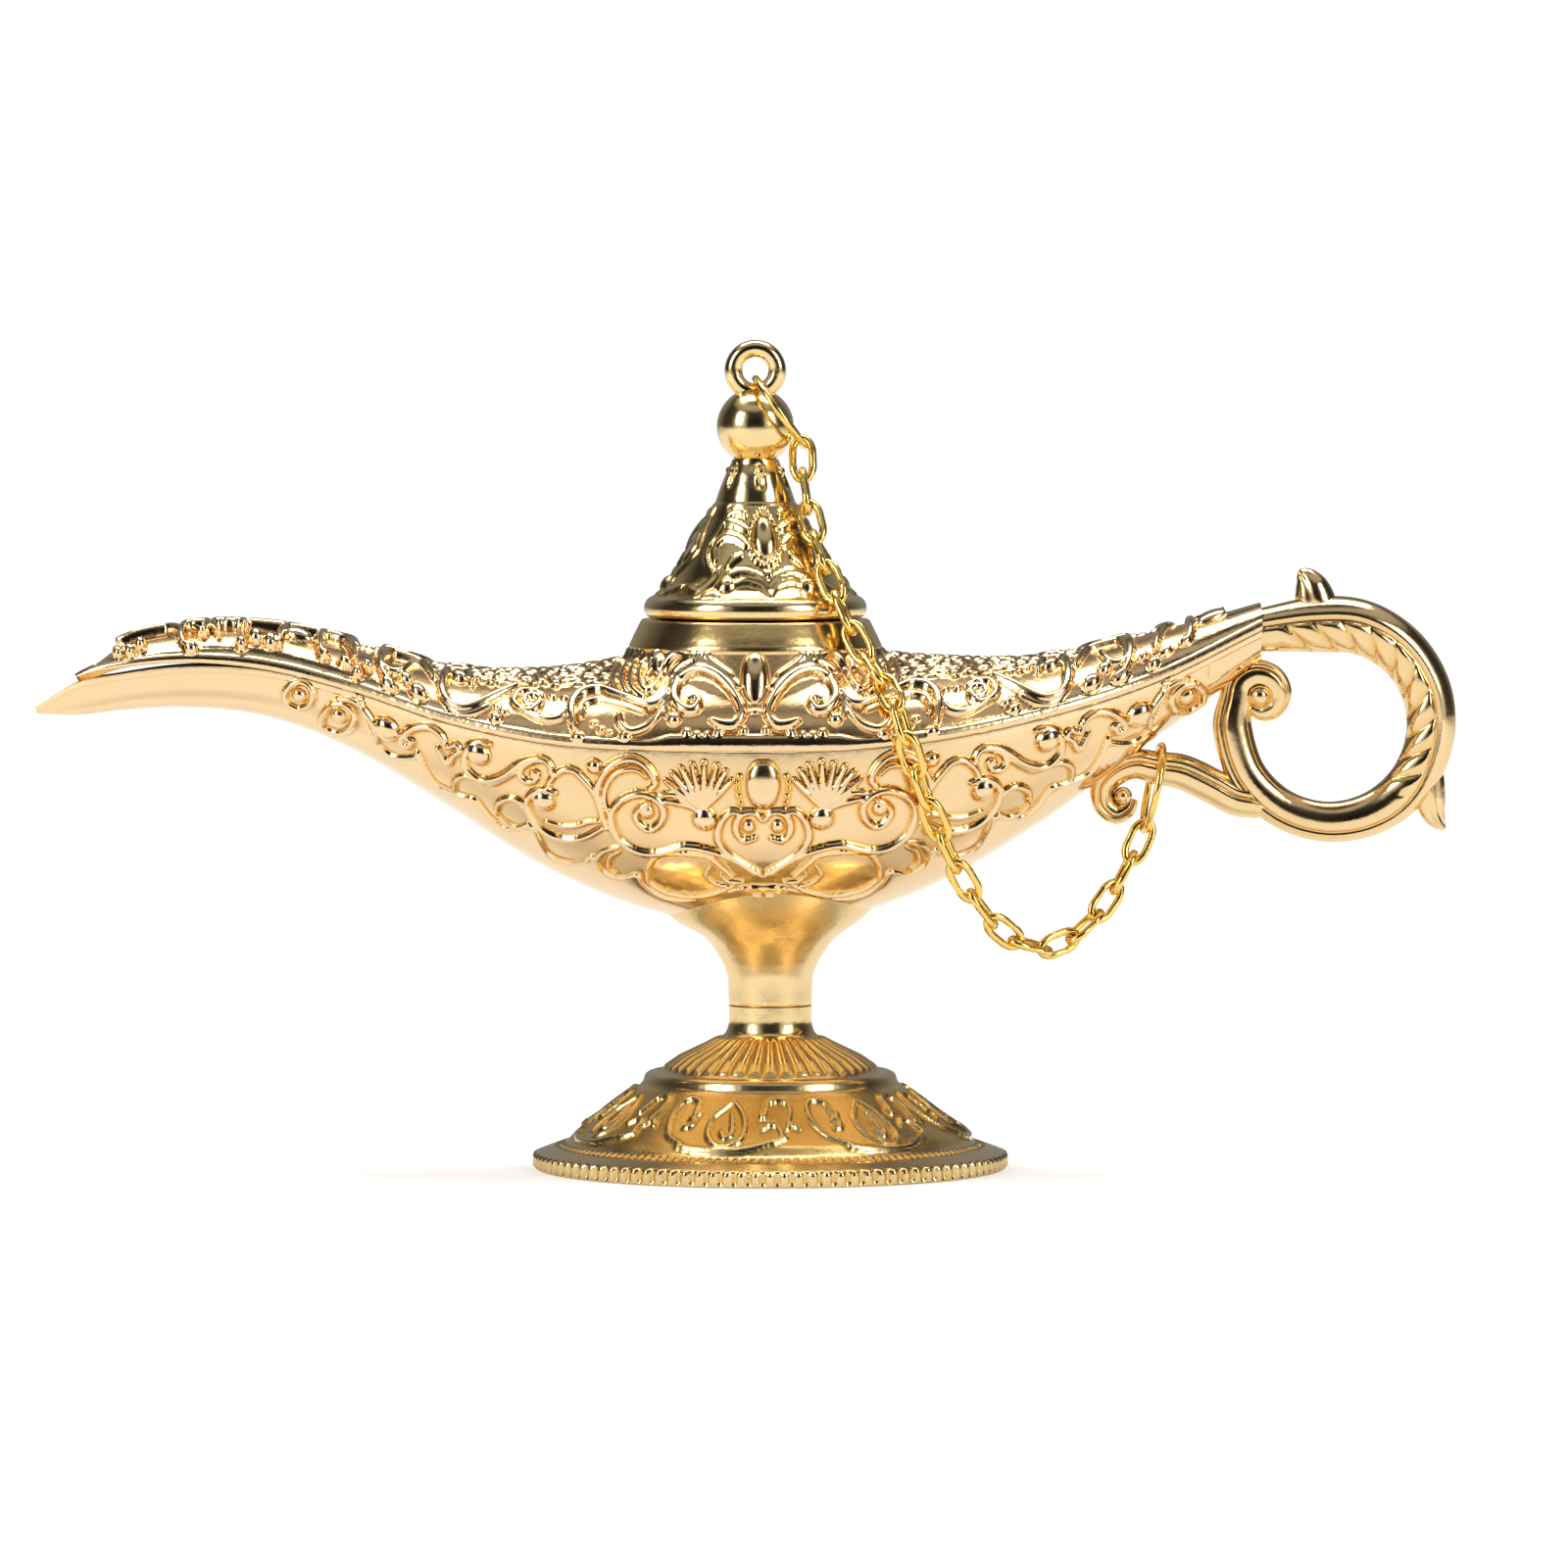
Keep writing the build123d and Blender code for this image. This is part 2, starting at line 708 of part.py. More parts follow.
outer_low = lower_outer()
outer_up = upper_outer()
hollow = cavity()
under = below_seam()
parts = {
    "foot": make_foot(),
    "foot_washer": make_washer(),
    "foot_screw": make_screw(),
    "lower_body": make_lower_body(outer_low, hollow, under),
    "upper_body": make_upper_body(outer_up, hollow, under),
    "lid": make_lid(),
    "handle": make_handle((outer_low & under) + (outer_up - under)),
    "handle_pin": pin_post(pin_radius, pin_length),
}
chain, contacts = make_chain()
parts.update(chain)
os.makedirs("parts", exist_ok=True)
for name, solid in parts.items():
    solid = Part(solid.wrapped) if len(solid.solids()) > 1 else solid.solid()
    export_step(solid, f"parts/{name}.step")
for i, place in enumerate(contacts):
    print("contact", i, round(place.X, 2), round(place.Y, 2), round(place.Z, 2))
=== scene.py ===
from math import pi

import bmesh
import bpy
import numpy as np
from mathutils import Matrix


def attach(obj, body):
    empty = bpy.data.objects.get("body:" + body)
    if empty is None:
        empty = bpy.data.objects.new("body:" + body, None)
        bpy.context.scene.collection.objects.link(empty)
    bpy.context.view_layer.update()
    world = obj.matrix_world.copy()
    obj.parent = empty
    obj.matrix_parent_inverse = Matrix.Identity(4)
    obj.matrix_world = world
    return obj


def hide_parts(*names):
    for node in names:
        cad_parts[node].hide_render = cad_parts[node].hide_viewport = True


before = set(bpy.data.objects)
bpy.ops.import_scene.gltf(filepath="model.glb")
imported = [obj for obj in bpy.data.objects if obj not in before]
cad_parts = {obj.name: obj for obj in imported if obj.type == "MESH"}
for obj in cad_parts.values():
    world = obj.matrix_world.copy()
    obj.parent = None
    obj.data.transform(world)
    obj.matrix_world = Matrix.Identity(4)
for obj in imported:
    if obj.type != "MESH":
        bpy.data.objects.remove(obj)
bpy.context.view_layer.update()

# The view: a long lens about a metre and a half away, a little above the lamp's middle, as a
# catalogue picture is taken.
camera = bpy.data.objects.new("camera", bpy.data.cameras.new("camera"))
camera.location = (0.00203, -1.519, 0.138)
camera.rotation_euler = (pi / 2 - 0.0534, 0, 0)
camera.data.sensor_width = 36.0
camera.data.lens = 236.2
camera.data.clip_end = 50
bpy.context.scene.collection.objects.link(camera)
bpy.context.scene.camera = camera
bpy.context.scene.view_settings.view_transform = "Standard"


# The table: a plain pale sheet that runs on under and behind the lamp. It renders white to the
# camera and keeps the lamp's shadow.
def shader_tree(name):
    material = bpy.data.materials.new(name)
    material.use_nodes = True
    return material, material.node_tree, material.node_tree.nodes["Principled BSDF"]


def carried(tree, value, old, new=(0, 1)):
    """A value carried from its old span to a new one in proportion, and held at the ends."""
    node = tree.nodes.new("ShaderNodeMapRange")
    for socket, number in zip(("From Min", "From Max", "To Min", "To Max"), (*old, *new)):
        node.inputs[socket].default_value = number
    tree.links.new(value, node.inputs["Value"])
    return node.outputs[0]


def scaled(tree, value, factor, base):
    """The value times the factor, plus the base."""
    node = tree.nodes.new("ShaderNodeMath")
    node.operation = "MULTIPLY_ADD"
    node.inputs[1].default_value = factor
    tree.links.new(value, node.inputs[0])
    tree.links.new(base, node.inputs[2])
    return node.outputs[0]


sheet = bpy.data.meshes.new("table")
corners = ((-3, -2.2), (3, -2.2), (3, 3), (-3, 3))
under_foot = -0.00005
sheet.from_pydata([(x, y, under_foot) for x, y in corners], [], [(0, 1, 2, 3)])
table = bpy.data.objects.new("table", sheet)
bpy.context.scene.collection.objects.link(table)
paper, tree, plain = shader_tree("white_paper")
plain.inputs["Base Color"].default_value = (0.82, 0.82, 0.82, 1)
plain.inputs["Roughness"].default_value = 0.9
# the light falls off away from the lamp, so the sheet glows more there
away = tree.nodes.new("ShaderNodeVectorMath")
away.operation = "LENGTH"
tree.links.new(tree.nodes.new("ShaderNodeTexCoord").outputs["Object"], away.inputs[0])
white = tree.nodes.new("ShaderNodeEmission")
glow = carried(tree, away.outputs["Value"], (0.12, 0.6), (0.45, 1.0))
tree.links.new(glow, white.inputs["Strength"])
both = tree.nodes.new("ShaderNodeAddShader")
tree.links.new(plain.outputs[0], both.inputs[0])
tree.links.new(white.outputs[0], both.inputs[1])
# the camera sees the glow, and the metal too, at part of its strength
seen = tree.nodes.new("ShaderNodeLightPath")
shown = scaled(tree, seen.outputs["Is Glossy Ray"], 0.3, seen.outputs["Is Camera Ray"])
pick = tree.nodes.new("ShaderNodeMixShader")
tree.links.new(shown, pick.inputs[0])
tree.links.new(plain.outputs[0], pick.inputs[1])
tree.links.new(both.outputs[0], pick.inputs[2])
tree.links.new(pick.outputs[0], tree.nodes["Material Output"].inputs[0])
table.data.materials.append(paper)

# The light: a dim studio with two tall soft boxes at the front left and right and one overhead.
# The dark gap between them, where the camera stands, shows in polished gold as olive streaks.
world = bpy.data.worlds.new("studio")
bpy.context.scene.world = world
world.use_nodes = True
tree = world.node_tree
backdrop = tree.nodes["Background"]
way = tree.nodes.new("ShaderNodeTexCoord")
split = tree.nodes.new("ShaderNodeSeparateXYZ")
turn = tree.nodes.new("ShaderNodeMath")
turn.operation = "ARCTAN2"
tree.links.new(way.outputs["Generated"], split.inputs[0])
tree.links.new(split.outputs["X"], turn.inputs[0])
tree.links.new(split.outputs["Y"], turn.inputs[1])
around = carried(tree, turn.outputs[0], (-pi, pi))
height = carried(tree, split.outputs["Z"], (-1, 1))


def levels(tree, source, stops):
    """A grey ramp over a value: each stop is a place from 0 to 1 and its brightness."""
    node = tree.nodes.new("ShaderNodeValToRGB")
    band = node.color_ramp
    while len(band.elements) < len(stops):
        band.elements.new(0.5)
    for stop, (place, level) in zip(band.elements, stops):
        stop.position = place
        stop.color = (level, level, level, 1)
    tree.links.new(source, node.inputs[0])
    return node.outputs[0]


def mixed(tree, share, first, second, blend="MIX"):
    """Two colours mixed by a share. Each of the three is a fixed value or another node's output."""
    node = tree.nodes.new("ShaderNodeMix")
    node.data_type = "RGBA"
    node.blend_type = blend
    for socket, value in zip((0, 6, 7), (share, first, second)):
        if isinstance(value, bpy.types.NodeSocket):
            tree.links.new(value, node.inputs[socket])
        else:
            node.inputs[socket].default_value = value
    return node.outputs[2]


# round the horizon from behind the camera by the left (0.25) and the back (0.5) to the right
walls = levels(tree, around, (
    (0.0, 0.005), (0.065, 0.005), (0.10, 0.62), (0.17, 0.62), (0.20, 0.04), (0.30, 0.03), (0.42, 0.24),
    (0.58, 0.24), (0.70, 0.03), (0.80, 0.04), (0.83, 0.62), (0.90, 0.62), (0.935, 0.005), (1.0, 0.005),
))
# from straight down to straight up: how far the walls reach, and the overhead panel
wall_top = levels(tree, height, ((0.0, 1), (0.76, 1), (0.86, 0.05), (1.0, 0.05)))
roof = levels(tree, height, (
    (0.0, 0.0), (0.5, 0.0), (0.70, 0.015), (0.84, 0.03), (0.90, 0.42), (0.95, 0.45), (0.975, 0.06),
    (1.0, 0.04),
))
room = mixed(tree, 1, mixed(tree, 1, walls, wall_top, "MULTIPLY"), roof, "LIGHTEN")
# the camera itself sees plain white
seen = tree.nodes.new("ShaderNodeLightPath")
shown = mixed(tree, seen.outputs["Is Camera Ray"], room, (1, 1, 1, 1))
tree.links.new(shown, backdrop.inputs["Color"])


def soft_box(name, size, place, turn, watts):
    light = bpy.data.lights.new(name, "AREA")
    light.shape = "RECTANGLE"
    light.size, light.size_y = size
    light.energy = watts
    holder = bpy.data.objects.new(name, light)
    holder.location = place
    holder.rotation_euler = turn
    bpy.context.scene.collection.objects.link(holder)


soft_box("box_left", (0.32, 0.6), (-0.75, -0.6, 0.5), (1.1, 0, -0.9), 4.0)
soft_box("box_right", (0.32, 0.6), (0.75, -0.6, 0.5), (1.1, 0, 0.9), 3.4)
soft_box("box_above", (0.8, 0.35), (0, 0.15, 0.85), (0, 0, 0), 5.5)


# The foot: a round cast pedestal, turned and pressed with a beaded rim, a scrolled skirt and a
# fluted dome, then gold plated. It is hollow, and a screw through it holds the bowl's stem.
mm = 0.001


def grid_faces(rows, columns):
    """Quads between the rows of a grid whose columns close on themselves."""
    index = np.arange(rows * columns).reshape(rows, columns)
    index = np.concatenate([index, index[:, :1]], 1)
    return np.stack([index[:-1, :-1], index[1:, :-1], index[1:, 1:], index[:-1, 1:]], -1).reshape(-1, 4)


def cast_piece(name, points, material, body, recess_shade=None, flat_ends=False, bore=None):
    """A metal piece from a grid of points in mm, closed along its columns. Its attribute of painted
    shade in the relief's recesses goes from 0, none, to 1. Ends on the axis are welded, and
    flat_ends closes a tube with one flat face at each end. A bore, given by its axis's place along X
    and its radius, leaves out the faces within it, and the two edges that this opens are joined."""
    rows, columns = points.shape[:2]
    faces = grid_faces(rows, columns)
    flat = points.reshape(-1, 3)
    if bore:
        middle = flat[faces].mean(1)
        faces = faces[np.hypot(middle[:, 0] - bore[0], middle[:, 1]) > bore[1]]
    faces = faces.tolist()
    round_count = len(faces)
    if flat_ends:
        faces += [list(range(columns)), list(range((rows - 1) * columns, rows * columns))]
    mesh = bpy.data.meshes.new(name)
    mesh.from_pydata((flat * mm).tolist(), [], faces)
    smooth = np.arange(len(faces)) < round_count
    mesh.polygons.foreach_set("use_smooth", smooth)
    # the painted shade of the recesses goes to the material as an attribute
    if recess_shade is not None:
        layer = mesh.attributes.new("recess_shade", "FLOAT", "POINT")
        layer.data.foreach_set("value", np.ascontiguousarray(recess_shade, np.float32).reshape(-1))
    piece = bpy.data.objects.new(name, mesh)
    bpy.context.scene.collection.objects.link(piece)
    weld(mesh, bore is not None)
    mesh.set_sharp_from_angle(angle=1.2)
    mesh.materials.append(material)
    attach(piece, body)
    return piece


def weld(mesh, join_edges=False):
    """Joins points that coincide, drops what has no area and turns every face outwards. join_edges
    first bridges the two open edges of a hole through a wall."""
    sheet = bmesh.new()
    sheet.from_mesh(mesh)
    if join_edges:
        bmesh.ops.delete(sheet, geom=[v for v in sheet.verts if not v.link_faces], context="VERTS")
        bmesh.ops.bridge_loops(sheet, edges=[e for e in sheet.edges if e.is_boundary])
    bmesh.ops.remove_doubles(sheet, verts=sheet.verts, dist=1e-8)
    bmesh.ops.dissolve_degenerate(sheet, edges=sheet.edges, dist=1e-9)
    bmesh.ops.recalc_face_normals(sheet, faces=sheet.faces)
    sheet.to_mesh(mesh)
    sheet.free()


def outward(points, inside, wrapped=True):
    """Unit normals of a grid, wrapped if its columns close on themselves: the cross product of its
    two directions, turned away from the inside point or points."""
    along = np.gradient(points, axis=0)
    if wrapped:
        points_round = np.concatenate([points[:, -1:], points, points[:, :1]], 1)
        across = np.gradient(points_round, axis=1)[:, 1:-1]
    else:
        across = np.gradient(points, axis=1)
    normal = np.cross(along, across)
    normal /= np.maximum(np.linalg.norm(normal, axis=-1, keepdims=True), 1e-9)
    return normal * np.sign(((points - inside) * normal).sum(-1, keepdims=True))


def smooth_step(x, low, high):
    """0 below low and 1 above high, with an S-shaped rise between."""
    t = np.clip((x - low) / (high - low), 0, 1)
    return t * t * (3 - 2 * t)


def turned_line(points, step, soften):
    """A profile of radius and height, stepped evenly along its length, its corners rounded by the
    mean over a stretch of the soften length."""
    points = np.asarray(points, float)
    length = np.concatenate([[0], np.cumsum(np.linalg.norm(np.diff(points, axis=0), axis=1))])
    count = max(int(length[-1] / step), 2)
    places = np.linspace(0, length[-1], count)
    nearer_end = np.minimum(places, length[-1] - places)
    spread = np.linspace(-soften, soften, 9)[:, None] * np.minimum(1, nearer_end / soften)
    return np.stack([np.interp(places + spread, length, points[:, i]).mean(0) for i in (0, 1)])


def revolve(profile, turns, centre_x=0.0):
    """Points of a profile of radius and height carried round an upright axis."""
    radius, rise = (row[:, None] for row in profile)
    angle = np.linspace(-pi, pi, turns, endpoint=False)[None]
    x = centre_x + radius * np.sin(angle)
    return np.stack([x, -radius * np.cos(angle), rise + 0 * angle], -1), angle


def flowing(points, steps=6):
    """A Catmull-Rom curve: between two points it is the cubic whose end slopes are half the way from
    the point before to the point after."""
    p = np.asarray(points, float)
    p = np.concatenate([2 * p[:1] - p[1:2], p, 2 * p[-1:] - p[-2:-1]])
    t = np.linspace(0, 1, steps, endpoint=False)[None, :, None]
    a, b, c, d = (p[i:len(p) - 3 + i, None] for i in range(4))
    curve = (2 * b + (c - a) * t + (2 * a - 5 * b + 4 * c - d) * t**2 + (3 * b - a - 3 * c + d) * t**3) / 2
    return np.concatenate([curve.reshape(-1, p.shape[1]), p[-2:-1]])


# how far the painted shade spreads from the foot of a rib or dome, in mm
crease_shade_reach = 0.55


def rib(raised, crease_shade, u, s, half_width, height, line):
    """Raises a rounded rib along a line on the chart (u, s): height times the root of one less the
    square of the distance over the half width, which narrows towards both ends. The painted shade
    in the crease along its foot falls from 1 beside the rib to 0 over the shade's reach."""
    path = flowing(line)
    low, high = path.min(0) - half_width - crease_shade_reach, path.max(0) + half_width + crease_shade_reach
    near = (u > low[0]) & (u < high[0]) & (s > low[1]) & (s < high[1])
    if not near.any():
        return
    place = np.stack([u[near], s[near]], -1)[:, None]
    start, span = path[:-1], np.diff(path, axis=0)
    t = np.clip(((place - start) * span).sum(-1) / np.maximum((span**2).sum(-1), 1e-9), 0, 1)
    gap = np.linalg.norm(place - start - t[..., None] * span, axis=-1)
    nearest = gap.argmin(1)
    rows = np.arange(len(gap))
    share = np.clip((nearest + t[rows, nearest]) / len(span), 0, 1)
    width = half_width * (0.62 + 0.38 * np.sqrt(np.sin(pi * share).clip(0)))
    rise = height * np.sqrt(np.clip(1 - (gap[rows, nearest] / width) ** 2, 0, 1))
    raised[near] = np.maximum(raised[near], rise)
    crease_shade[near] = np.maximum(crease_shade[near], np.clip(1 - (gap[rows, nearest] - width) / crease_shade_reach, 0, 1))


def knob(raised, crease_shade, u, s, place, radius_u, radius_s, height):
    """Raises a dome over an oval: height times the root of one less the square of the distance, with
    painted shade in the crease round it."""
    far = np.sqrt(((u - place[0]) / radius_u) ** 2 + ((s - place[1]) / radius_s) ** 2)
    np.maximum(raised, height * np.sqrt(np.clip(1 - far**2, 0, 1)), out=raised)
    np.maximum(crease_shade, np.clip(1 - (far - 1) * radius_u / crease_shade_reach, 0, 1), out=crease_shade)


def noise(tree, place, scale, detail=2):
    node = tree.nodes.new("ShaderNodeTexNoise")
    node.inputs["Scale"].default_value = scale
    node.inputs["Detail"].default_value = detail
    tree.links.new(place, node.inputs["Vector"])
    return node.outputs["Fac"]


def gold(name, color, recess_shade_color, rough, recess_rough, grain):
    """Polished gold plate. Recesses of the relief are painted darker and warmer as shade, and are
    duller; cloudy patches vary the polish, and a fine grain of the casting shows through."""
    material, tree, metal = shader_tree(name)
    metal.inputs["Metallic"].default_value = 1
    place = tree.nodes.new("ShaderNodeTexCoord").outputs["Object"]
    recess_shade_attribute = tree.nodes.new("ShaderNodeAttribute")
    recess_shade_attribute.attribute_name = "recess_shade"
    cloud = noise(tree, place, 140, 4)
    # the base colour leans to the painted shade colour in the recesses, and a little in cloudy patches
    patches_and_shade = scaled(tree, cloud, 0.22, recess_shade_attribute.outputs["Fac"])
    tone = mixed(tree, patches_and_shade, (*color, 1), (*recess_shade_color, 1))
    tree.links.new(tone, metal.inputs["Base Color"])
    polish = carried(tree, cloud, (0.35, 0.75), (rough, rough + 0.07))
    dull = scaled(tree, recess_shade_attribute.outputs["Fac"], recess_rough, polish)
    tree.links.new(dull, metal.inputs["Roughness"])
    bump = tree.nodes.new("ShaderNodeBump")
    bump.inputs["Strength"].default_value = grain
    bump.inputs["Distance"].default_value = 0.0001
    tree.links.new(noise(tree, place, 900, 3), bump.inputs["Height"])
    tree.links.new(bump.outputs[0], metal.inputs["Normal"])
    return material


# its second colour is the painted shade in the relief's recesses
foot_gold = gold("foot_gold_plate", (0.94, 0.71, 0.36), (0.86, 0.55, 0.14), 0.16, 0.16, 0.35)
foot_line = (
    (34.9, 0.2), (34.9, 2.3), (34.4, 2.5), (31.9, 3.4), (31.6, 3.3), (30.4, 3.8), (29.9, 4.2),
    (28.6, 5.6), (25.6, 7.5), (23.1, 9.4), (20.8, 11.1), (19.0, 12.6), (18.9, 13.0), (18.5, 14.0),
    (17.6, 14.4), (16.6, 14.1), (15.9, 14.6), (13.4, 16.3), (9.6, 18.1), (7.2, 19.4), (6.5, 20.2),
    (6.2, 21.5), (6.2, 24.0),
)
foot_hollow = (
    (6.2, 24.0), (4.3, 24.0), (4.3, 20.8), (2.25, 20.8), (2.25, 17.8), (7.5, 17.8), (14.7, 11.9),
    (16.7, 10.9), (28.7, 2.4), (32.9, 0.0), (34.7, 0.0), (34.9, 0.2),
)
foot_columns = 720
skirt_repeats = 7
skirt_start = 15
skirt_swell = 1.4
rim_beads, knurl_teeth, dome_flutes = 104, 150, 40
# the skirt's scrolls: half width and height of each rib, then its places round the skirt in
# degrees from an almond's middle, and out from the axis in mm; all ribs swell by one factor
skirt_ribs = (
    (0.34, 0.55, ((0.0, 20.6), (3.8, 22.0), (6.4, 24.3), (6.2, 27.2), (3.0, 28.7), (-1.6, 28.5),
        (-5.0, 26.4), (-5.4, 23.4), (0.0, 20.6))),
    (0.34, 0.55, ((0.8, 22.6), (2.2, 24.6), (2.6, 26.5), (0.8, 27.2), (-1.2, 25.8))),
    (0.36, 0.6, ((11.2, 22.8), (12.6, 23.4), (13.6, 22.0), (14.4, 20.8), (18.4, 20.3), (21.6, 20.9),
        (22.4, 22.6), (20.8, 24.6))),
    (0.34, 0.55, ((12.0, 25.6), (15.0, 24.4), (18.0, 25.2), (18.4, 27.4), (15.4, 28.4))),
    (0.34, 0.55, ((-11.2, 22.8), (-12.6, 23.4), (-13.6, 22.0), (-14.4, 20.8), (-18.4, 20.3),
        (-21.6, 20.9), (-22.4, 22.6), (-21.0, 24.8), (-17.6, 27.2), (-12.0, 28.6))),
    (0.34, 0.55, ((-14.6, 25.4), (-12.6, 25.2), (-12.2, 24.0), (-14.2, 23.8))),
    (0.36, 0.6, ((-13.0, 28.9), (-6.0, 29.3), (2.0, 29.4), (9.0, 29.0), (14.8, 28.2), (20.0, 27.2))),
    (0.34, 0.55, ((20.0, 25.6), (22.4, 24.6), (24.8, 25.4))),
)


def carve_skirt(angle, radius):
    """The skirt's scrolls in mm and the painted shade in their creases. The ribs repeat seven times
    round, on a chart of the degrees from the middle of a repeat, as mm at a radius of 25, and the distance
    from the axis."""
    step = 360 / skirt_repeats
    u = (np.degrees(angle) + skirt_start + step / 2) % step - step / 2 + 0 * radius
    scroll, crease_shade = np.zeros(u.shape), np.zeros(u.shape)
    degree = np.radians(25)  # mm in a degree of the chart
    for half_width, height, line in skirt_ribs:
        line = np.asarray(line) * (degree, 1)
        rib(scroll, crease_shade, u * degree, radius + 0 * u, half_width * skirt_swell, height, line)
    return scroll, crease_shade


line = turned_line(foot_line, 0.33, 0.35)
under = np.asarray(foot_hollow).T[:, 1:-1]
outside, angle = revolve(line, foot_columns)
inside, _ = revolve(under, foot_columns)
radius, rise = (row[:, None] for row in line)
on_skirt = smooth_step(radius, 19.3, 20.0) * (1 - smooth_step(radius, 29.5, 30.0))
on_rim = (radius > 34.6) * smooth_step(rise, 0.1, 0.5) * (1 - smooth_step(rise, 2.0, 2.4))
on_knurl = smooth_step(radius, 30.4, 30.7) * (1 - smooth_step(radius, 31.5, 31.8))
on_dome = smooth_step(radius, 7.0, 8.0) * (1 - smooth_step(radius, 15.4, 16.0)) * (rise > 14)
scroll, crease_shade = carve_skirt(angle, radius)
scroll *= on_skirt
beads = np.clip(1.9 * np.cos(rim_beads * angle), -1, 1) * on_rim
knurl = np.cos(knurl_teeth * angle) * on_knurl
flutes = np.abs(np.cos(dome_flutes / 2 * angle)) ** 0.6
relief = scroll + 0.3 * beads + 0.18 * knurl + 0.42 * on_dome * flutes
# painted shade: the skirt's ground between the scrolls, darkest in the creases beside them, the valleys
# between the dome's flutes, the gaps between the rim's beads and the knurl's teeth
recess_shade = on_skirt * (1 - smooth_step(scroll, 0.02, 0.3)) * (0.55 + 0.45 * crease_shade)
recess_shade = recess_shade + on_dome * (1 - flutes) * 0.9 + 0.5 * smooth_step(-beads, 0, 1)
recess_shade = recess_shade + 0.5 * (abs(radius - 31.1) < 0.7) * (knurl < 0)
outside = outside + outward(outside, (0, 0, 8.0)) * relief[..., None]
points = np.concatenate([outside, inside, outside[:1]])
bare = np.zeros((len(points) - len(outside), foot_columns))
recess_shade = np.concatenate([recess_shade + 0 * outside[..., 0], bare])
foot = cast_piece("foot_casting", points, foot_gold, "lamp", recess_shade)
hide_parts("foot")


# The screw, its washer and the handle's pin: plain zinc-plated steel, out of sight inside the
# foot and the tail. Their own solids stay and take a brushed steel finish.
steel, tree, metal = shader_tree("zinc_steel")
metal.inputs["Metallic"].default_value = 1
metal.inputs["Base Color"].default_value = (0.56, 0.57, 0.58, 1)
stretch = tree.nodes.new("ShaderNodeMapping")
stretch.inputs["Scale"].default_value = (1, 1, 0.1)
tree.links.new(tree.nodes.new("ShaderNodeTexCoord").outputs["Object"], stretch.inputs[0])
brushing = noise(tree, stretch.outputs[0], 700)
tree.links.new(carried(tree, brushing, (0, 1), (0.22, 0.45)), metal.inputs["Roughness"])
for name in ("foot_washer", "foot_screw", "handle_pin"):
    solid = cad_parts[name].data
    solid.materials.clear()
    solid.materials.append(steel)


# The bowl: the lower of two thin castings, pressed with a frieze, plated and polished. It is the
# boat-shaped oil bowl with the underside of the spout and tail, soldered to the upper casting, and
# the waist under it takes the foot's screw.
def smooth_through(x, knots, values):
    """Cubic Hermite curve through the knots, its slope at a knot the weighted mean beside it."""
    knots, values = np.asarray(knots, float), np.asarray(values, float)
    steps = np.diff(knots)
    slopes = np.diff(values) / steps
    tilt = np.empty_like(values)
    tilt[1:-1] = (slopes[:-1] * steps[1:] + slopes[1:] * steps[:-1]) / (steps[:-1] + steps[1:])
    tilt[0], tilt[-1] = slopes[0], slopes[-1]
    i = np.clip(np.searchsorted(knots, x) - 1, 0, len(steps) - 1)
    t = (x - knots[i]) / steps[i]
    return (
        (2 * t**3 - 3 * t**2 + 1) * values[i] + (t**3 - 2 * t**2 + t) * steps[i] * tilt[i]
        + (3 * t**2 - 2 * t**3) * values[i + 1] + (t**3 - t**2) * steps[i] * tilt[i + 1]
    )


# along X, half width, seam height, keel height and crown height of the body, in mm
body_rows = np.array([
    (-108.4, 0.7, 68.3, 67.2, 68.4), (-102.3, 3.7, 71.9, 67.0, 72.4), (-95.9, 5.2, 73.25, 67.7, 77.2),
    (-86.7, 6.25, 74.4, 68.15, 79.4), (-74.8, 7.5, 74.0, 66.9, 79.6), (-61.8, 10.4, 71.0, 62.0, 77.2),
    (-47.7, 15.4, 66.6, 53.6, 74.2), (-33.6, 20.2, 63.8, 44.7, 73.7), (-13.0, 24.0, 62.7, 37.0, 76.7),
    (6.5, 24.3, 62.7, 36.3, 77.2), (23.9, 21.3, 64.1, 41.8, 75.6), (40.5, 15.4, 67.3, 51.5, 75.7),
    (56.5, 9.0, 72.1, 63.3, 79.3), (72.4, 4.4, 79.6, 75.0, 83.7),
]).T
crown_overhang = 0.8


def body_skin(x, columns, over):
    """One half of the body's skin, from the front seam to the back one. At each place x it is half an
    ellipse, y = W sin t and z = S + (E - S) cos t, where E is the crown (over) or the keel. Also gives
    the distance along it from the nearer seam."""
    rows = (smooth_through(x, body_rows[0], row)[:, None] for row in body_rows[1:])
    half_width, seam, keel, crown = rows
    turn = np.linspace(-pi / 2, pi / 2, columns)[None]
    wide = half_width + crown_overhang * over
    y = wide * np.sin(turn)
    z = seam + ((crown if over else keel) - seam) * np.cos(turn)
    arc = np.cumsum(np.hypot(np.diff(y), np.diff(z)), axis=1)
    arc = np.concatenate([np.zeros_like(wide), arc], 1)
    skin = np.stack([x[:, None] + 0 * y, y, z], -1)
    return skin, np.minimum(arc, arc[:, -1:] - arc), seam, half_width


casting_wall = 1.6


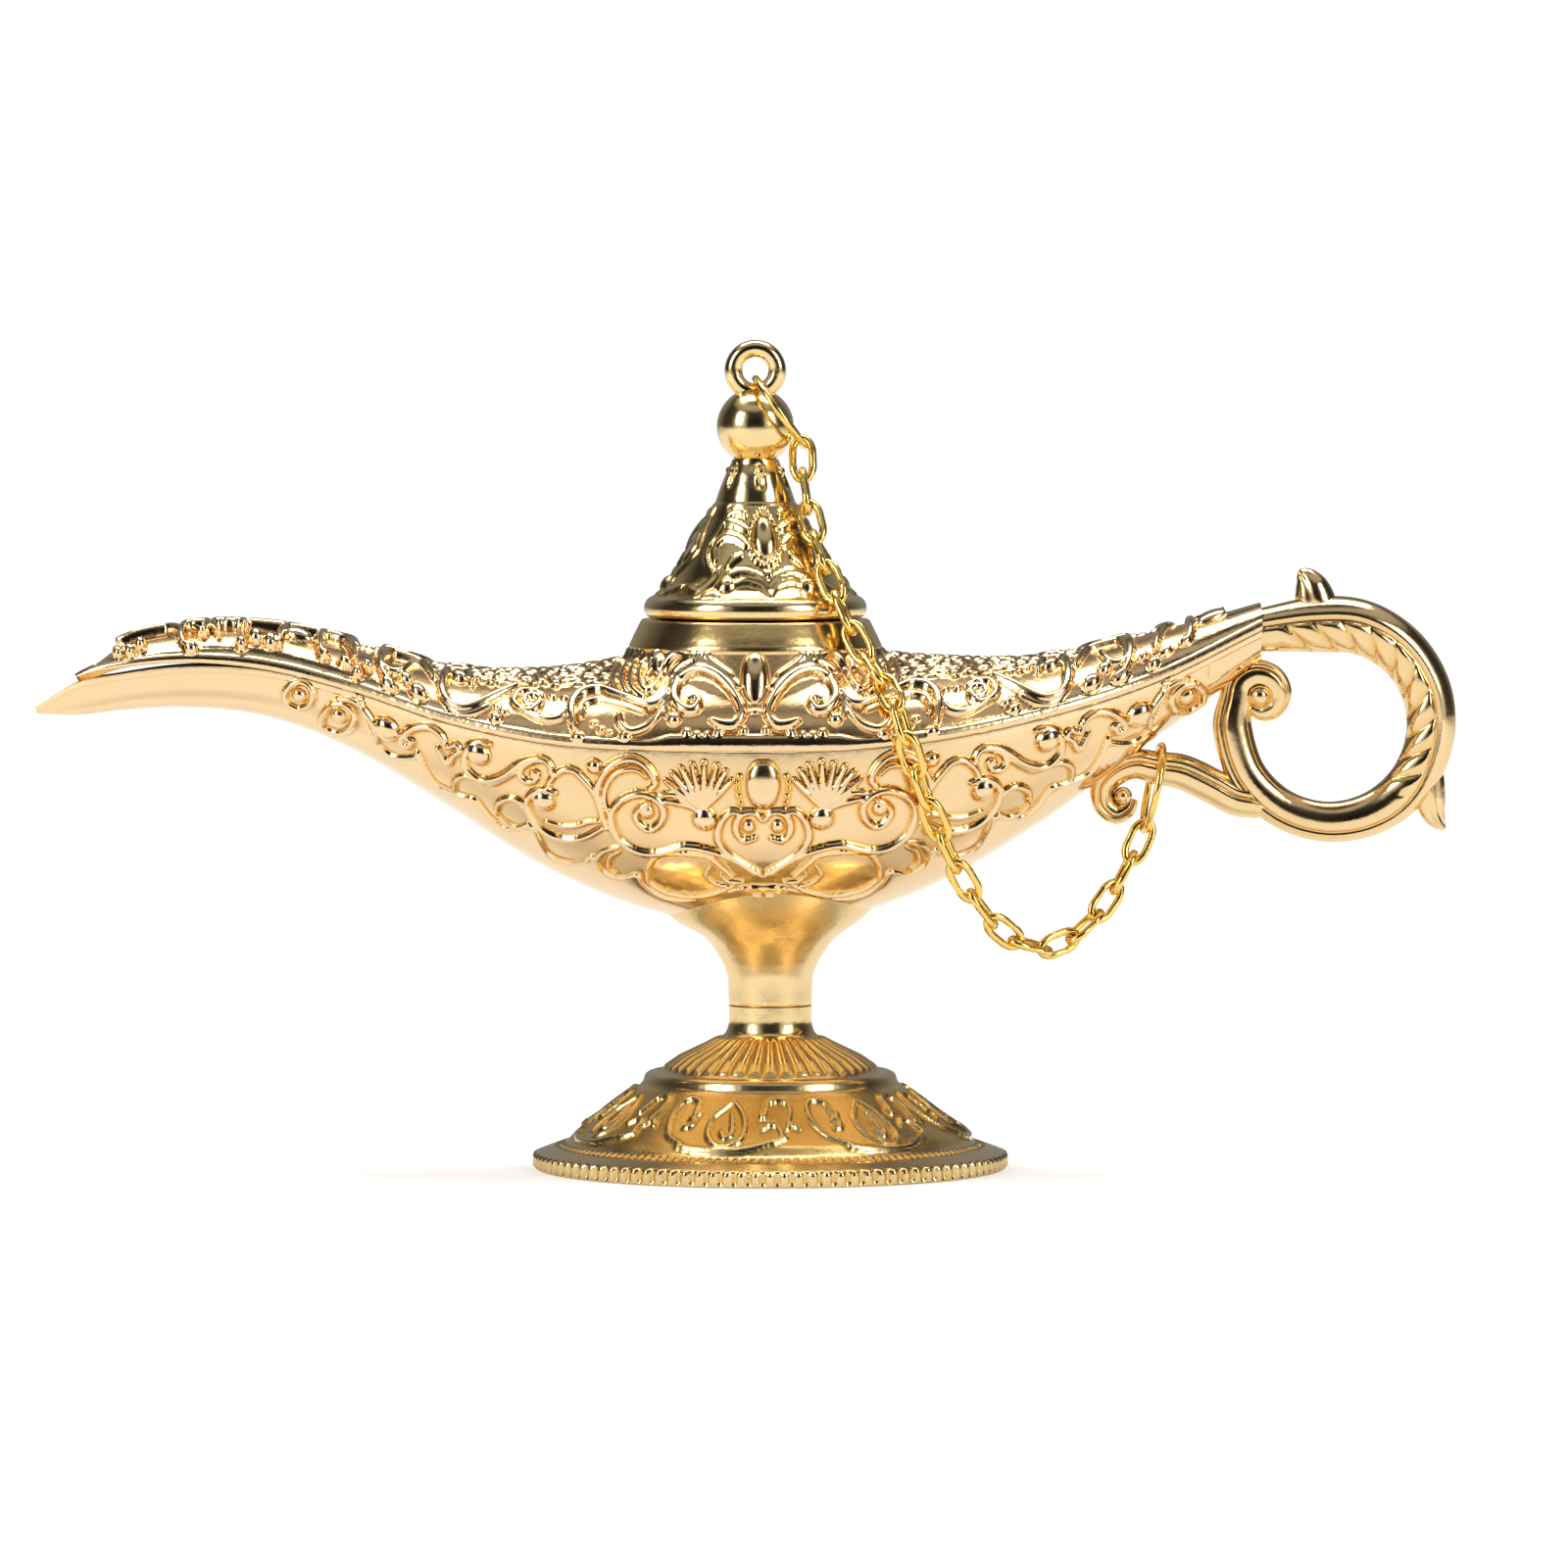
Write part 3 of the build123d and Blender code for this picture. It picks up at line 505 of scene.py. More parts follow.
def shell_piece(name, skin, raised, recess_shade, half_width, heart, material, replaced, bore=None):
    """A length of one casting as a closed shell: the skin moved out along its normals by the relief,
    and every tenth column of the bare skin moved in by the wall, which thins with the body. The first
    and last rows only steady the normals and are dropped."""
    normal = outward(skin, heart, wrapped=False)
    wall = np.minimum(casting_wall, 0.3 * half_width)[..., None]
    outside = (skin + normal * raised[..., None])[1:-1]
    inside = (skin - normal * wall)[1:-1, ::10][:, ::-1]
    points = np.concatenate([outside, inside], 1)
    recess_shade = np.concatenate([recess_shade[1:-1], 0 * inside[..., 0]], 1)
    piece = cast_piece(name, points, material, "lamp", recess_shade, True, bore)
    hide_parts(replaced)


# its second colour is the painted shade in the relief's recesses
body_gold = gold("rose_gold_plate", (0.94, 0.71, 0.42), (0.80, 0.44, 0.10), 0.11, 0.12, 0.22)
frieze_middle = -1.0
frieze_end = 65.6
frieze_swell = 1.25
plate_height = 0.35
# the frieze, on a chart of the distance from its middle line and the distance below the seam, in mm:
# the half width, before its swell, and height of each rib, then its places; both ends are the same
frieze_ribs = (
    (.45, .80, ((46.2, 3.4), (47, 1.7), (48.8, 1.2), (51.1, 2.1), (52.4, 3.6), (52.8, 4.8), (52, 5.2),
        (51.2, 4.1), (51.8, 3.8))),
    (.42, .70, ((45.9, 3.3), (44.8, 2.6), (44.2, 3.3), (45.1, 4.3), (45.9, 5.8), (46.6, 5.2), (47.4, 3.8))),
    (.46, .80, ((39.8, 1.4), (41.4, 1.4), (42.9, 2.5), (43.5, 5), (42.6, 6.4), (41.1, 7.1), (39.2, 6.5),
        (37.4, 5.3), (35.5, 3.5), (33.7, 2.5), (31.9, 2.2), (30.9, 3), (30.8, 3.9))),
    (.42, .75, ((31.5, 2.3), (33.3, 2.6), (34.8, 3.6), (35.3, 5), (34.4, 5.8), (33.2, 5.4), (32.8, 4.4),
        (33.5, 4.1))),
    (.36, .55, ((44.9, 11.4), (45, 8.9), (43.9, 7.4), (41.8, 7.1), (39.6, 7.3), (37.8, 6.2), (35.7, 4.5))),
    (.42, .70, ((38.8, 12.2), (38.4, 10.3), (36.9, 9.1), (35.4, 9.2), (34.9, 10.1))),
    (.36, .55, ((38.6, 13), (37.5, 14.2), (35.7, 14.5), (34.2, 13.1))),
    (.46, .85, ((30.2, 6.9), (31.9, 6.6), (33.5, 7.5), (34.3, 9.3), (33.8, 11.5), (32.3, 13.5),
        (30.1, 14.5), (27.5, 14.4), (25.3, 13.3), (23.5, 11.9), (22, 11.4))),
    (.36, .55, ((31.6, 11.9), (29.4, 12.3), (27.2, 11.9), (25.3, 11), (23.3, 10.7))),
    (.42, .70, ((31.5, 7.1), (30.8, 5), (29.3, 3.5), (27.5, 3.3), (26, 4.5), (24.5, 6.3), (23.5, 8.6),
        (23.1, 10.6))),
    (.50, .95, ((22.6, 11.8), (23.6, 8.6), (24, 5.5), (22.7, 2.8), (20.5, 1.4), (18.3, 1.3),
        (16.5, 2.6), (15.6, 4.4), (16.5, 5.5))),
    (.36, .60, ((22.2, 10.1), (23.1, 7), (22.3, 4.3), (20.5, 2.9), (18.3, 2.7), (16.9, 3.7))),
    (.50, .95, ((16.5, 7.5), (17.6, 8.1), (18.5, 9.5), (17.6, 11.1), (16.2, 11.6), (14.7, 10.1),
        (14.5, 8.2), (15.8, 6.7), (18, 6.2), (20.5, 7.2), (22, 9.3), (21.8, 11.8), (20.6, 13.9),
        (18, 15.5), (15.1, 15.5), (11.4, 14.2), (7.8, 14.7), (5.2, 15.7), (3, 17), (1.2, 18.6))),
    (.36, .55, ((20.2, 14.8), (17.7, 16.2), (14.7, 15.9), (10.3, 15), (6.7, 15.3), (4.1, 16.5),
        (2.3, 18.2))),
    (.42, .70, ((20.9, 14.8), (23.2, 16.1), (24.1, 18.4), (23.2, 21), (21.9, 21.6))),
    (.36, .50, ((20.9, 15.8), (22.2, 17), (22.5, 19.2), (21.4, 20.5))),
    (.44, .75, ((16.8, 18.8), (15.8, 16.5), (13.3, 15.5), (8.5, 15.6), (6.5, 17.1), (4.5, 19.4))),
    (.40, .70, ((16.8, 18.8), (16.6, 21.6), (14.1, 23.7), (10, 24.1), (6.7, 22.8), (4.1, 21))),
    (.36, .60, ((7.8, 17.6), (8.2, 19.4), (7.1, 20.9), (4.9, 21.5))),
    (.36, .60, ((6, 18), (6, 19.5), (4.9, 20.5), (3, 20.4))),
    (.46, .85, ((1.2, 12.6), (2.7, 13), (3.8, 11.8), (3.9, 10.2), (3, 8.8), (1.2, 8.6), (0.1, 9.8))),
    (.46, .85, ((2.7, 8.8), (4.8, 8.6), (6.3, 10.6), (6.5, 13.1), (4.9, 15.4), (2.3, 17.4), (0.1, 19.1))),
    (.40, .60, ((15, 6.3), (12.9, 6.2), (11, 7.1), (8.9, 8.2))),
    (.40, .60, ((15, 7), (12.9, 7.3), (10.7, 7.8), (8.9, 8.7))),
    (.46, .80, ((63.8, 3.3), (64.8, 5.5), (64.5, 7.7), (62.4, 7.8), (60.5, 5.7), (59.9, 3.3),
        (61.2, 2.1), (63.2, 2.5))),
    (.46, .80, ((62.3, 1.5), (60, 1.2), (58.4, 2), (57.3, 3.2), (56.6, 4.5), (56.4, 6.8))),
)
spout_ring = (
    (68.3, 5), (70, 4.4), (70.2, 2.7), (69, 1.1), (67.3, 0.6), (66.2, 1.7), (66.6, 3.6), (68.3, 5),
)
fan_root = (8.7, 8.2)
fan_tips = (
    (14.1, 4.2), (13.2, 3.1), (11.9, 2.3), (10.3, 1.7), (8.5, 1.4), (6.7, 1.7), (5.4, 2.6),
    (4.5, 3.9),
)
frieze_balls = (
    (55, 3.6, 1.85), (41.4, 3.1, 1.7), (31.9, 8.4, 1.66), (24.5, 2.5, 1.04), (16.9, 8.8, 1.11),
    (8.5, 9.7, 1.77), (51.8, 3.9, .67), (33.3, 4.6, .67), (2.1, 10.8, .96), (0.9, 24, .81),
    (68.2, 2.7, 1.04), (62.3, 4.3, 1.18), (3.4, 3.4, .4), (3.7, 4.3, .4), (3.7, 5.2, .4),
    (3.5, 6.3, .4), (3.3, 7.3, .4), (3, 8.2, .4),
)
frieze_edge = (
    (60, -1), (59, 0.5), (58.2, 3.5), (57.1, 5.6), (55.3, 7.7), (53.4, 7.9), (50.7, 6.5),
    (50.4, 5.7), (49.5, 8.2), (47.9, 10.7), (45.7, 11.3), (43.6, 11.3), (42.3, 11.1), (41.5, 11.9),
    (40.1, 14.1), (38, 15.4), (35.7, 14.8), (33.8, 13.5), (32.9, 15.4), (31.7, 18.6), (30.2, 20),
    (28, 20), (25.8, 18.8), (24.8, 17.4), (24, 19.5), (22.5, 21.3), (20.3, 21.4), (18.4, 20.4),
    (17.4, 22.3), (15.5, 24.6), (12.6, 25.5), (9.3, 24.6), (6, 23), (3.4, 21.8), (0.8, 21.4),
    (-0.8, 21.4),
)


def frieze(x, s):
    """The bowl's relief in mm, and the painted shade in its recesses. A plate stands a little proud
    above the frieze's lower edge, and on it ribs and balls, of which the highest counts."""
    u = np.abs(x - frieze_middle) + 0 * s
    scrolls, crease_shade = np.zeros(u.shape), np.zeros(u.shape)
    for half_width, height, line in frieze_ribs:
        rib(scrolls, crease_shade, u, s, half_width * frieze_swell, height, line)
    for tip in fan_tips:
        middle = ((fan_root[0] + tip[0]) / 2, (fan_root[1] + tip[1]) / 2)
        rib(scrolls, crease_shade, u, s, 0.5, 0.8, (fan_root, middle, tip))
    rib(scrolls, crease_shade, u, s, 0.5, 0.7, spout_ring)
    for across, down, radius in frieze_balls:
        knob(scrolls, crease_shade, u, s, (across, down), radius, radius, 0.85 * radius)
    knob(scrolls, crease_shade, u, s, (0.2, 4.5), 2.3, 3.5, 1.3)
    here = x - frieze_middle < frieze_end
    scrolls *= here
    crease_shade *= here
    order = np.asarray(frieze_edge)[::-1]
    depth = np.interp(u[:, :1], order[:, 0], order[:, 1], left=21.4, right=-1)
    plate = plate_height * smooth_step(depth - s, -0.15, 0.15)
    border = np.zeros(u.shape)
    rib(border, crease_shade, u, s, 0.5, 1.0, frieze_edge)
    rim = 0.3 * (1 - smooth_step(s, 0.7, 1.1))
    raised = np.maximum(np.maximum(plate + scrolls, border), rim)
    # painted shade: darkest in the creases beside the ribs, a little over the plate, none on the ribs or
    # along the seam
    low = 1 - smooth_step(np.maximum(scrolls, border), 0.05, 0.6)
    recess_shade = low * (crease_shade**1.5 + 0.12 * (plate > 0.2)) * smooth_step(s, 0.6, 1.0)
    return raised, np.clip(recess_shade, 0, 1)


for name, start, end, rows, columns in (
    ("bowl_spout", -108.4, -46.0, 250, 261), ("bowl_left", -46.0, -1.0, 235, 361),
    ("bowl_right", -1.0, 36.0, 195, 361), ("bowl_tail", 36.0, 72.4, 150, 261),
):
    step = (end - start) / (rows - 1)
    x = np.linspace(start - step, end + step, rows + 2)
    skin, s, seam, half_width = body_skin(x, columns, 0)
    raised, recess_shade = frieze(x[:, None], s)
    heart = np.stack([x[:, None], 0 * seam, seam + 2], -1)
    shell_piece(name, skin, raised, recess_shade, half_width, heart, body_gold, "lower_body")

# the waist and its spigot: a turned stem whose flare runs out into the bowl
stem_line = (
    (0.0, 31.9), (2.05, 31.9), (2.05, 20.8), (4.2, 20.8), (4.2, 24.05), (6.2, 24.05), (6.25, 26.8),
    (6.4, 28.6), (7.1, 30.4), (8.2, 32.2), (9.5, 34.0), (11.4, 35.9), (13.0, 37.2), (15.5, 39.0),
)
flare = (8.5, 15.5)
stem_columns = 240


def bowl_bottom(x, y):
    """Height of the bowl's skin under a place: seam less the drop of its half ellipse there."""
    half_width, seam, keel = (smooth_through(x, body_rows[0], row) for row in body_rows[1:4])
    return seam - (seam - keel) * np.sqrt(np.clip(1 - (y / half_width) ** 2, 0, 1))


line = turned_line(stem_line, 0.5, 0.25)
points, _ = revolve(line, stem_columns)
share = smooth_step(line[0][:, None], *flare) * (line[1][:, None] > 26)
bowl_height = bowl_bottom(points[..., 0], points[..., 1])
points[..., 2] += share * (bowl_height + 0.25 - stem_line[-1][1])
inner = np.linspace(flare[1], 0, 12)[1:]
cap, _ = revolve(np.stack([inner, 0 * inner]), stem_columns)
cap[..., 2] = bowl_bottom(cap[..., 0], cap[..., 1]) + 0.4
points = np.concatenate([points, cap])
stem_gold = gold("stem_gold_plate", (0.95, 0.72, 0.38), (0.84, 0.52, 0.16), 0.24, 0.1, 0.4)
stem = cast_piece("bowl_stem", points, stem_gold, "lamp")
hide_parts("lower_body")


# The crown: the upper casting, of the same thin metal, pressed with higher scrollwork and soldered to
# the bowl along the brim. It roofs the spout and the tail, and its collar is the mouth for oil.
# its second colour is the painted shade in the relief's recesses
crown_gold = gold("olive_gold_plate", (0.93, 0.70, 0.40), (0.85, 0.52, 0.22), 0.10, 0.20, 0.45)
lid_axis = -2.2
crown_end = 69.5
crown_swell, crown_lift = 1.65, 1.1
# the crown's scrolls, on a chart of the distance from the lid's axis and that above the seam, in mm:
# the half width and height of each rib, before swell and lift, then its places; both ends are the same
crown_ribs = (
    (.50, 1.0, ((9.7, 6.2), (8.7, 6.6), (8.2, 5.7), (9.1, 4.7), (10.8, 5.2), (11.8, 6.9), (10.9, 9.3),
        (8.4, 10.7), (5.6, 9.9), (3.4, 7.8), (2.1, 5.4), (2, 3.9), (3.1, 2.8), (4.8, 2.8), (6.2, 3.2))),
    (.38, .60, ((12.7, 4.1), (12.8, 6.4), (11.6, 10.3), (9, 11.9), (5.9, 10.7), (3.7, 9.4), (2.2, 8.2))),
    (.45, .70, ((13.7, 10.9), (11.5, 13), (9, 12.2), (7.4, 10.9))),
    (.38, .70, ((8.7, 13.6), (9, 12.9), (7.8, 11.5), (5.6, 9.9))),
    (.38, .70, ((7.8, 13.3), (8.1, 12.5), (6.5, 11), (4.3, 9.5))),
    (.38, .70, ((6.8, 13), (7, 12.3), (5.4, 11), (3.4, 9.8))),
    (.38, .70, ((19.9, 20.7), (20.8, 14.3), (20.1, 9.7), (17.7, 8.1))),
    (.38, .70, ((18.7, 21.7), (19.5, 14.9), (18.6, 10.1), (16.7, 8.2))),
    (.38, .70, ((17.5, 21.1), (18.2, 15.5), (17.7, 11.2), (16.1, 8.8))),
    (.38, .80, ((16.4, 19.2), (16.9, 14.7), (16.2, 11), (14.6, 10.4), (13.9, 12.8), (14.8, 15.4),
        (15.7, 14.4))),
    (.45, .80, ((14.5, 15.8), (13.7, 16.8), (13.2, 17.3))),
    (.52, 1.0, ((26.2, 2.7), (26.7, 5.4), (26.4, 8.4), (25, 10.6), (22.7, 11.3), (19.9, 9.6),
        (16.7, 7.8), (13.9, 6.8), (12.7, 7.5))),
    (.38, .70, ((25.4, 4.6), (25.1, 7.2), (23.3, 8.5), (19.9, 7.7), (16.1, 6))),
    (.42, .80, ((12.5, 6.9), (14.2, 4.8), (16.4, 3.3), (18.3, 2.9), (19.6, 4), (19.8, 5.6))),
    (.42, .85, ((32.2, 5.9), (33.6, 6.3), (33.5, 7.9), (32.2, 8.6), (31.4, 7.4), (32.5, 5.1),
        (34.2, 5.1), (35.2, 6.6), (34.5, 9.2), (32.6, 9.8), (30.9, 8.8))),
    (.42, .80, ((34, 4.8), (31, 3.8), (28.5, 4.4), (27, 6.6))),
    (.52, 1.0, ((41.5, 9.6), (42.1, 13), (43.7, 13.5), (45.5, 12), (45.9, 7.8), (45.6, 4.5), (44.3, 3),
        (41.9, 3.3), (39.4, 5.5), (36.7, 8.7), (34.9, 10.9))),
    (.38, .60, ((44.7, 2.4), (43.2, 2), (41.3, 2.6), (38.8, 4.6))),
    (.45, .90, ((50.8, 9.8), (52.2, 6.3), (54, 5.4), (55.2, 7.2), (55, 12), (52.9, 13.5), (50.7, 14),
        (49.1, 13.5), (48.1, 11.4), (47, 8.1))),
    (.45, .90, ((49.7, 14), (51.9, 14), (54.1, 12.5), (55.1, 8.2), (54.8, 4.8), (53.7, 3.3))),
    (.45, .90, ((63.7, 12.8), (61.1, 12.5), (59.7, 10.3), (58.9, 5.3))),
    (.45, .90, ((63.7, 12.8), (64.4, 10.4), (64, 5.3), (63.2, 4))),
    (.50, .90, ((74.8, 9.5), (74.1, 9.6), (71.5, 10), (68.5, 10.5), (66.3, 11))),
    (.45, .90, ((70, 4.1), (70, 7.6), (68.9, 10.5), (66.7, 11), (64.8, 11.5))),
    (.45, .90, ((75.4, 8.3), (75.9, 9.8), (77.8, 9.8), (79.7, 9.5), (79.9, 7.8), (79, 5.3))),
    (.45, .90, ((83.3, 2.2), (84.3, 4.2), (84.1, 8.5), (82.2, 9), (80.9, 9), (81.2, 5.6), (82.6, 6.6))),
    (.42, .80, ((84.6, 6), (86.6, 8.8), (88.9, 8.5), (90.7, 8.3), (92.6, 7.8), (93.7, 7.4))),
)
crown_balls = (
    (9.9, 1.8, .57), (8.5, 1.5, .57), (6.9, 1.5, .53), (5.2, 1.8, .57), (1.7, 2.1, .53),
    (0.2, 4.6, .44), (11.7, 3.5, .88), (25.7, 1.5, .88), (18.9, 1.9, .82), (22.3, 2.9, .57),
    (23.4, 3.9, .50), (21.2, 2.6, .44), (15.6, 13, .57), (37.8, 2.5, .89), (36.7, 4, .74),
    (37.7, 4.6, .67), (43.6, 11.1, 1.33), (40.1, 11.7, .59), (38.8, 10.9, .59), (37.5, 11.4, .59),
    (36.2, 13.4, .55), (28.4, 20, .74), (26.9, 18.9, .74), (32.6, 7.2, .52), (53.4, 2.7, .96),
    (49.3, 3.5, 1.33), (51.3, 14, .59), (29.6, 8.9, .67), (27.8, 9, .59), (29.2, 12.6, .6),
    (30.8, 13.4, .6), (32.4, 12.6, .6), (34, 13.8, .6), (29.8, 15.2, .6), (31.8, 16, .6),
    (33.8, 16.4, .6), (35.6, 15.6, .6), (38, 14, .6), (39.6, 14.6, .6), (37.4, 16.6, .6),
    (28.2, 14.2, .6), (30.4, 17.8, .6),
)
crown_lobes = (
    (93.6, 3.2, .74, 1.18), (91.9, 3.1, .81, 1.26), (90.4, 4.2, .74, 1.04), (82.9, 2.4, 1.04, 1.18),
    (75.6, 3.6, .81, 1.18), (73.6, 5.6, 1.04, 1.33), (71.4, 5, 1.04, 1.48), (67.6, 8.3, 2.14, 1.4),
    (63.4, 4.5, .89, .89), (60.2, 4.2, 1.11, .81), (58.4, 3.1, .81, 1.04), (57, 4.9, .81, .81),
    (53.7, 3, 1.18, 1.11), (51.3, 5.5, .96, 1.11), (82.6, 9, .74, .67), (77.8, 9.5, 1.11, .67),
)


def crown_relief(x, s):
    """The crown's relief in mm, and the painted shade in its recesses: a rounded bead along the brim, a
    plain band above it, then ribs, balls and a teardrop at the middle, of which the highest counts."""
    u = np.abs(x - lid_axis) + 0 * s
    scrolls, crease_shade = np.zeros(u.shape), np.zeros(u.shape)
    for half_width, height, line in crown_ribs:
        rib(scrolls, crease_shade, u, s, half_width * crown_swell, height * crown_lift, line)
    for across, up, radius in crown_balls:
        knob(scrolls, crease_shade, u, s, (across, up), radius * 1.15, radius * 1.15, radius)
    for across, up, radius_u, radius_s in crown_lobes:
        knob(scrolls, crease_shade, u, s, (across, up), radius_u * 1.2, radius_s * 1.2, 1.0)
    knob(scrolls, crease_shade, u, s, (0, 9.4), 2.0, 3.7, 1.4)
    # over the top, small beads in staggered wavy rows, each a dome of 0.4 of the pitch in radius
    across, up = u / 2.4 + 0.25 * np.sin(0.8 * s), s / 2.0 + 0.3 * np.sin(0.7 * u)
    across, up = (across + 0.5 * (np.floor(up) % 2)) % 1 - 0.5, up % 1 - 0.5
    beads = 0.5 * np.sqrt(np.clip(1 - (across**2 + up**2) / 0.16, 0, 1))
    field = smooth_step(s, 12.5, 13.2) * smooth_step(u, 13, 14) * (u < 86)
    scrolls = np.maximum(scrolls, beads * field)
    here = x - lid_axis < crown_end
    scrolls *= here
    # the leaves stand higher over the spout
    scrolls *= 1 + 0.75 * smooth_step(u, 45, 60) * (x < lid_axis)
    bead = 0.5 * np.sqrt(np.clip(1 - ((s - 0.9) / 0.9) ** 2, 0, 1))
    reach = np.interp(u[:, :1], (0, 30, 60, 75, 92, 94), (1.2, 1.6, 3.0, 3.4, 3.0, 30))
    patterned = smooth_step(s, reach, reach + 0.5) * here
    # painted shade over the patterned ground, darkest in the creases beside the ribs and balls
    recess_shade = patterned * (1 - smooth_step(scrolls, 0.05, 0.6)) * (0.45 + 0.55 * crease_shade)
    return np.maximum(bead, scrolls), recess_shade


mouth_bore = (lid_axis, 16.3)
# the collar's root is a cone round the lid's axis, from its edge's radius and height down
root_radius, root_height, root_slope = 18.2, 77.6, 2.15
for name, start, end, rows, columns, bore in (
    ("crown_spout", -102.3, -46.0, 250, 201, None), ("crown_left", -46.0, -24.0, 110, 241, None),
    ("crown_middle", -24.0, 20.0, 225, 341, mouth_bore), ("crown_tail", 20.0, 72.4, 230, 221, None),
):
    step = (end - start) / (rows - 1)
    x = np.linspace(start - step, end + step, rows + 2)
    skin, s, seam, half_width = body_skin(x, columns, 1)
    # the root joins the crown by a soft maximum of the two heights
    away = np.hypot(skin[..., 0] - lid_axis, skin[..., 1])
    cone = root_height - root_slope * (np.maximum(away, 17) - root_radius)
    soft, datum = 0.35, 70
    skin[..., 2] = datum + soft * np.logaddexp((skin[..., 2] - datum) / soft, (cone - datum) / soft)
    # in front of the collar the chart goes by the height at which the camera sees a point
    level = skin[..., 2] - 0.045 * np.abs(skin[..., 1])
    by_height = np.interp(level, (61.6, 65.7, 69.7, 77.7), (0, 2.8, 6.9, 14.5))
    beside = smooth_step(np.abs(x - lid_axis), 12, 16)[:, None]
    s = beside * s + (1 - beside) * by_height
    raised, recess_shade = crown_relief(x[:, None], s)
    clear = 1 - smooth_step(skin[..., 2], 76.6, 77.5) * (away < 24)
    # the brim lifts off the bowl's, by a hair at the middle and by a dark slit along the spout
    slit = 0.10 + 0.8 * smooth_step(-x, 70, 98)[:, None]
    skin[..., 2] += slit * np.clip(1 - s / 3, 0, 1)
    heart = np.stack([x[:, None], 0 * seam, seam - 2], -1)
    raised, recess_shade = raised * clear, recess_shade * clear
    shell_piece(name, skin, raised, recess_shade, half_width, heart, crown_gold, "upper_body", bore)

collar_line = (
    (14.4, 77.0), (14.4, 74.0), (16.5, 74.0), (18.6, 76.4), (18.7, 77.4), (18.4, 78.0),
    (18.0, 78.9), (17.4, 80.1), (17.0, 80.9), (16.8, 81.25), (14.5, 81.3), (14.4, 81.2),
    (14.4, 77.0),
)
collar_gold = gold("collar_gold_plate", (0.92, 0.67, 0.30), (0.80, 0.50, 0.14), 0.15, 0.1, 0.25)
collar, _ = revolve(turned_line(collar_line, 0.3, 0.2), 360, lid_axis)
mouth = cast_piece("crown_collar", collar, collar_gold, "lamp")
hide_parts("upper_body")


# The lid: a hollow cast cone with a rolled rim and a plug that drops into the collar. Three scrolled
# panels with a cabochon go round its slope, and a fluted neck, ball and eye are cast on its top.
# its second colour is the painted shade in the relief's recesses
lid_gold = gold("lid_gold_plate", (0.92, 0.72, 0.36), (0.82, 0.52, 0.16), 0.12, 0.08, 0.22)
lid_line = (
    (0.0, 98.2), (3.6, 98.2), (6.3, 87.3), (12.5, 81.6), (12.5, 77.3), (14.0, 77.3), (14.0, 81.45),
    (15.6, 81.5), (16.2, 81.75), (16.45, 82.4), (16.45, 83.3), (16.1, 84.1), (15.6, 84.5),
    (14.9, 84.8), (13.7, 85.9), (12.4, 87.6), (11.4, 89.4), (10.36, 91.1), (9.35, 92.8),
    (8.19, 94.6), (7.17, 96.3), (6.4, 97.9), (6.3, 98.2), (5.95, 98.35), (5.8, 98.8), (5.2, 100.6),
    (4.3, 102.8), (3.6, 104.2), (3.4, 104.8),
)
ball_middle, ball_size = 109.65, 5.67
panel_half = 60
panel_turn = 9
panel_swell, panel_lift = 1.5, 0.65
cabochon = 93.5
lid_columns = 480
# the panel's scrolls: half width and height of each rib, before swell and lift, then its places in
# degrees from the panel's middle and height in mm
panel_ribs = (
    (.42, .55, ((20, 96.8), (31, 97.3), (42, 96.8), (44, 95.9), (36, 95.6), (26, 95.1), (18, 94.6))),
    (.42, .55, ((17, 92.4), (26, 93.4), (37, 93.7), (44, 92.9), (46, 91.8), (41, 90.2))),
    (.42, .50, ((20, 90.9), (26, 90.2), (29, 89.3))),
    (.42, .50, ((33, 86.5), (27, 88.0), (18, 88.5), (8, 88.0), (1, 86.9), (-2, 85.5))),
    (.38, .45, ((22, 86.8), (15, 87.3), (6, 86.8), (1, 85.8), (-1, 84.8))),
    (.42, .55, ((58, 86.2), (46, 85.8), (39, 87.1), (36, 88.7))),
    (.40, .50, ((49, 98.3), (45, 96.8), (48, 94.3), (54, 91.8), (47, 89.6), (39, 87.7), (46, 85.2))),
    (.38, .45, ((40, 85.0), (35, 85.5), (30, 85.0))),
)

tilt = np.linspace(-1.02, pi / 2, 30)
ball = np.stack([ball_size * np.cos(tilt), ball_middle + ball_size * np.sin(tilt)])
profile = np.concatenate([turned_line(lid_line, 0.38, 0.2), ball], 1)
profile[0, -1] = 0
points, angle = revolve(profile, lid_columns, lid_axis)
radius, rise = (row[:, None] for row in profile)
degree = np.radians(10.9)  # mm in a degree half way up the slope
turned = (np.degrees(angle) - panel_turn + panel_half) % (2 * panel_half) - panel_half
u = np.abs(turned) * degree + 0 * rise
height = rise + 0 * angle
scrolls, crease_shade = np.zeros(u.shape), np.zeros(u.shape)
outer = np.arange(len(rise))[:, None] > np.abs(profile[1] - 83.4).argmin()
for half_width, tall, line in panel_ribs:
    line = np.asarray(line) * (degree, 1)
    rib(scrolls, crease_shade, u, height, half_width * panel_swell, tall * panel_lift, line)
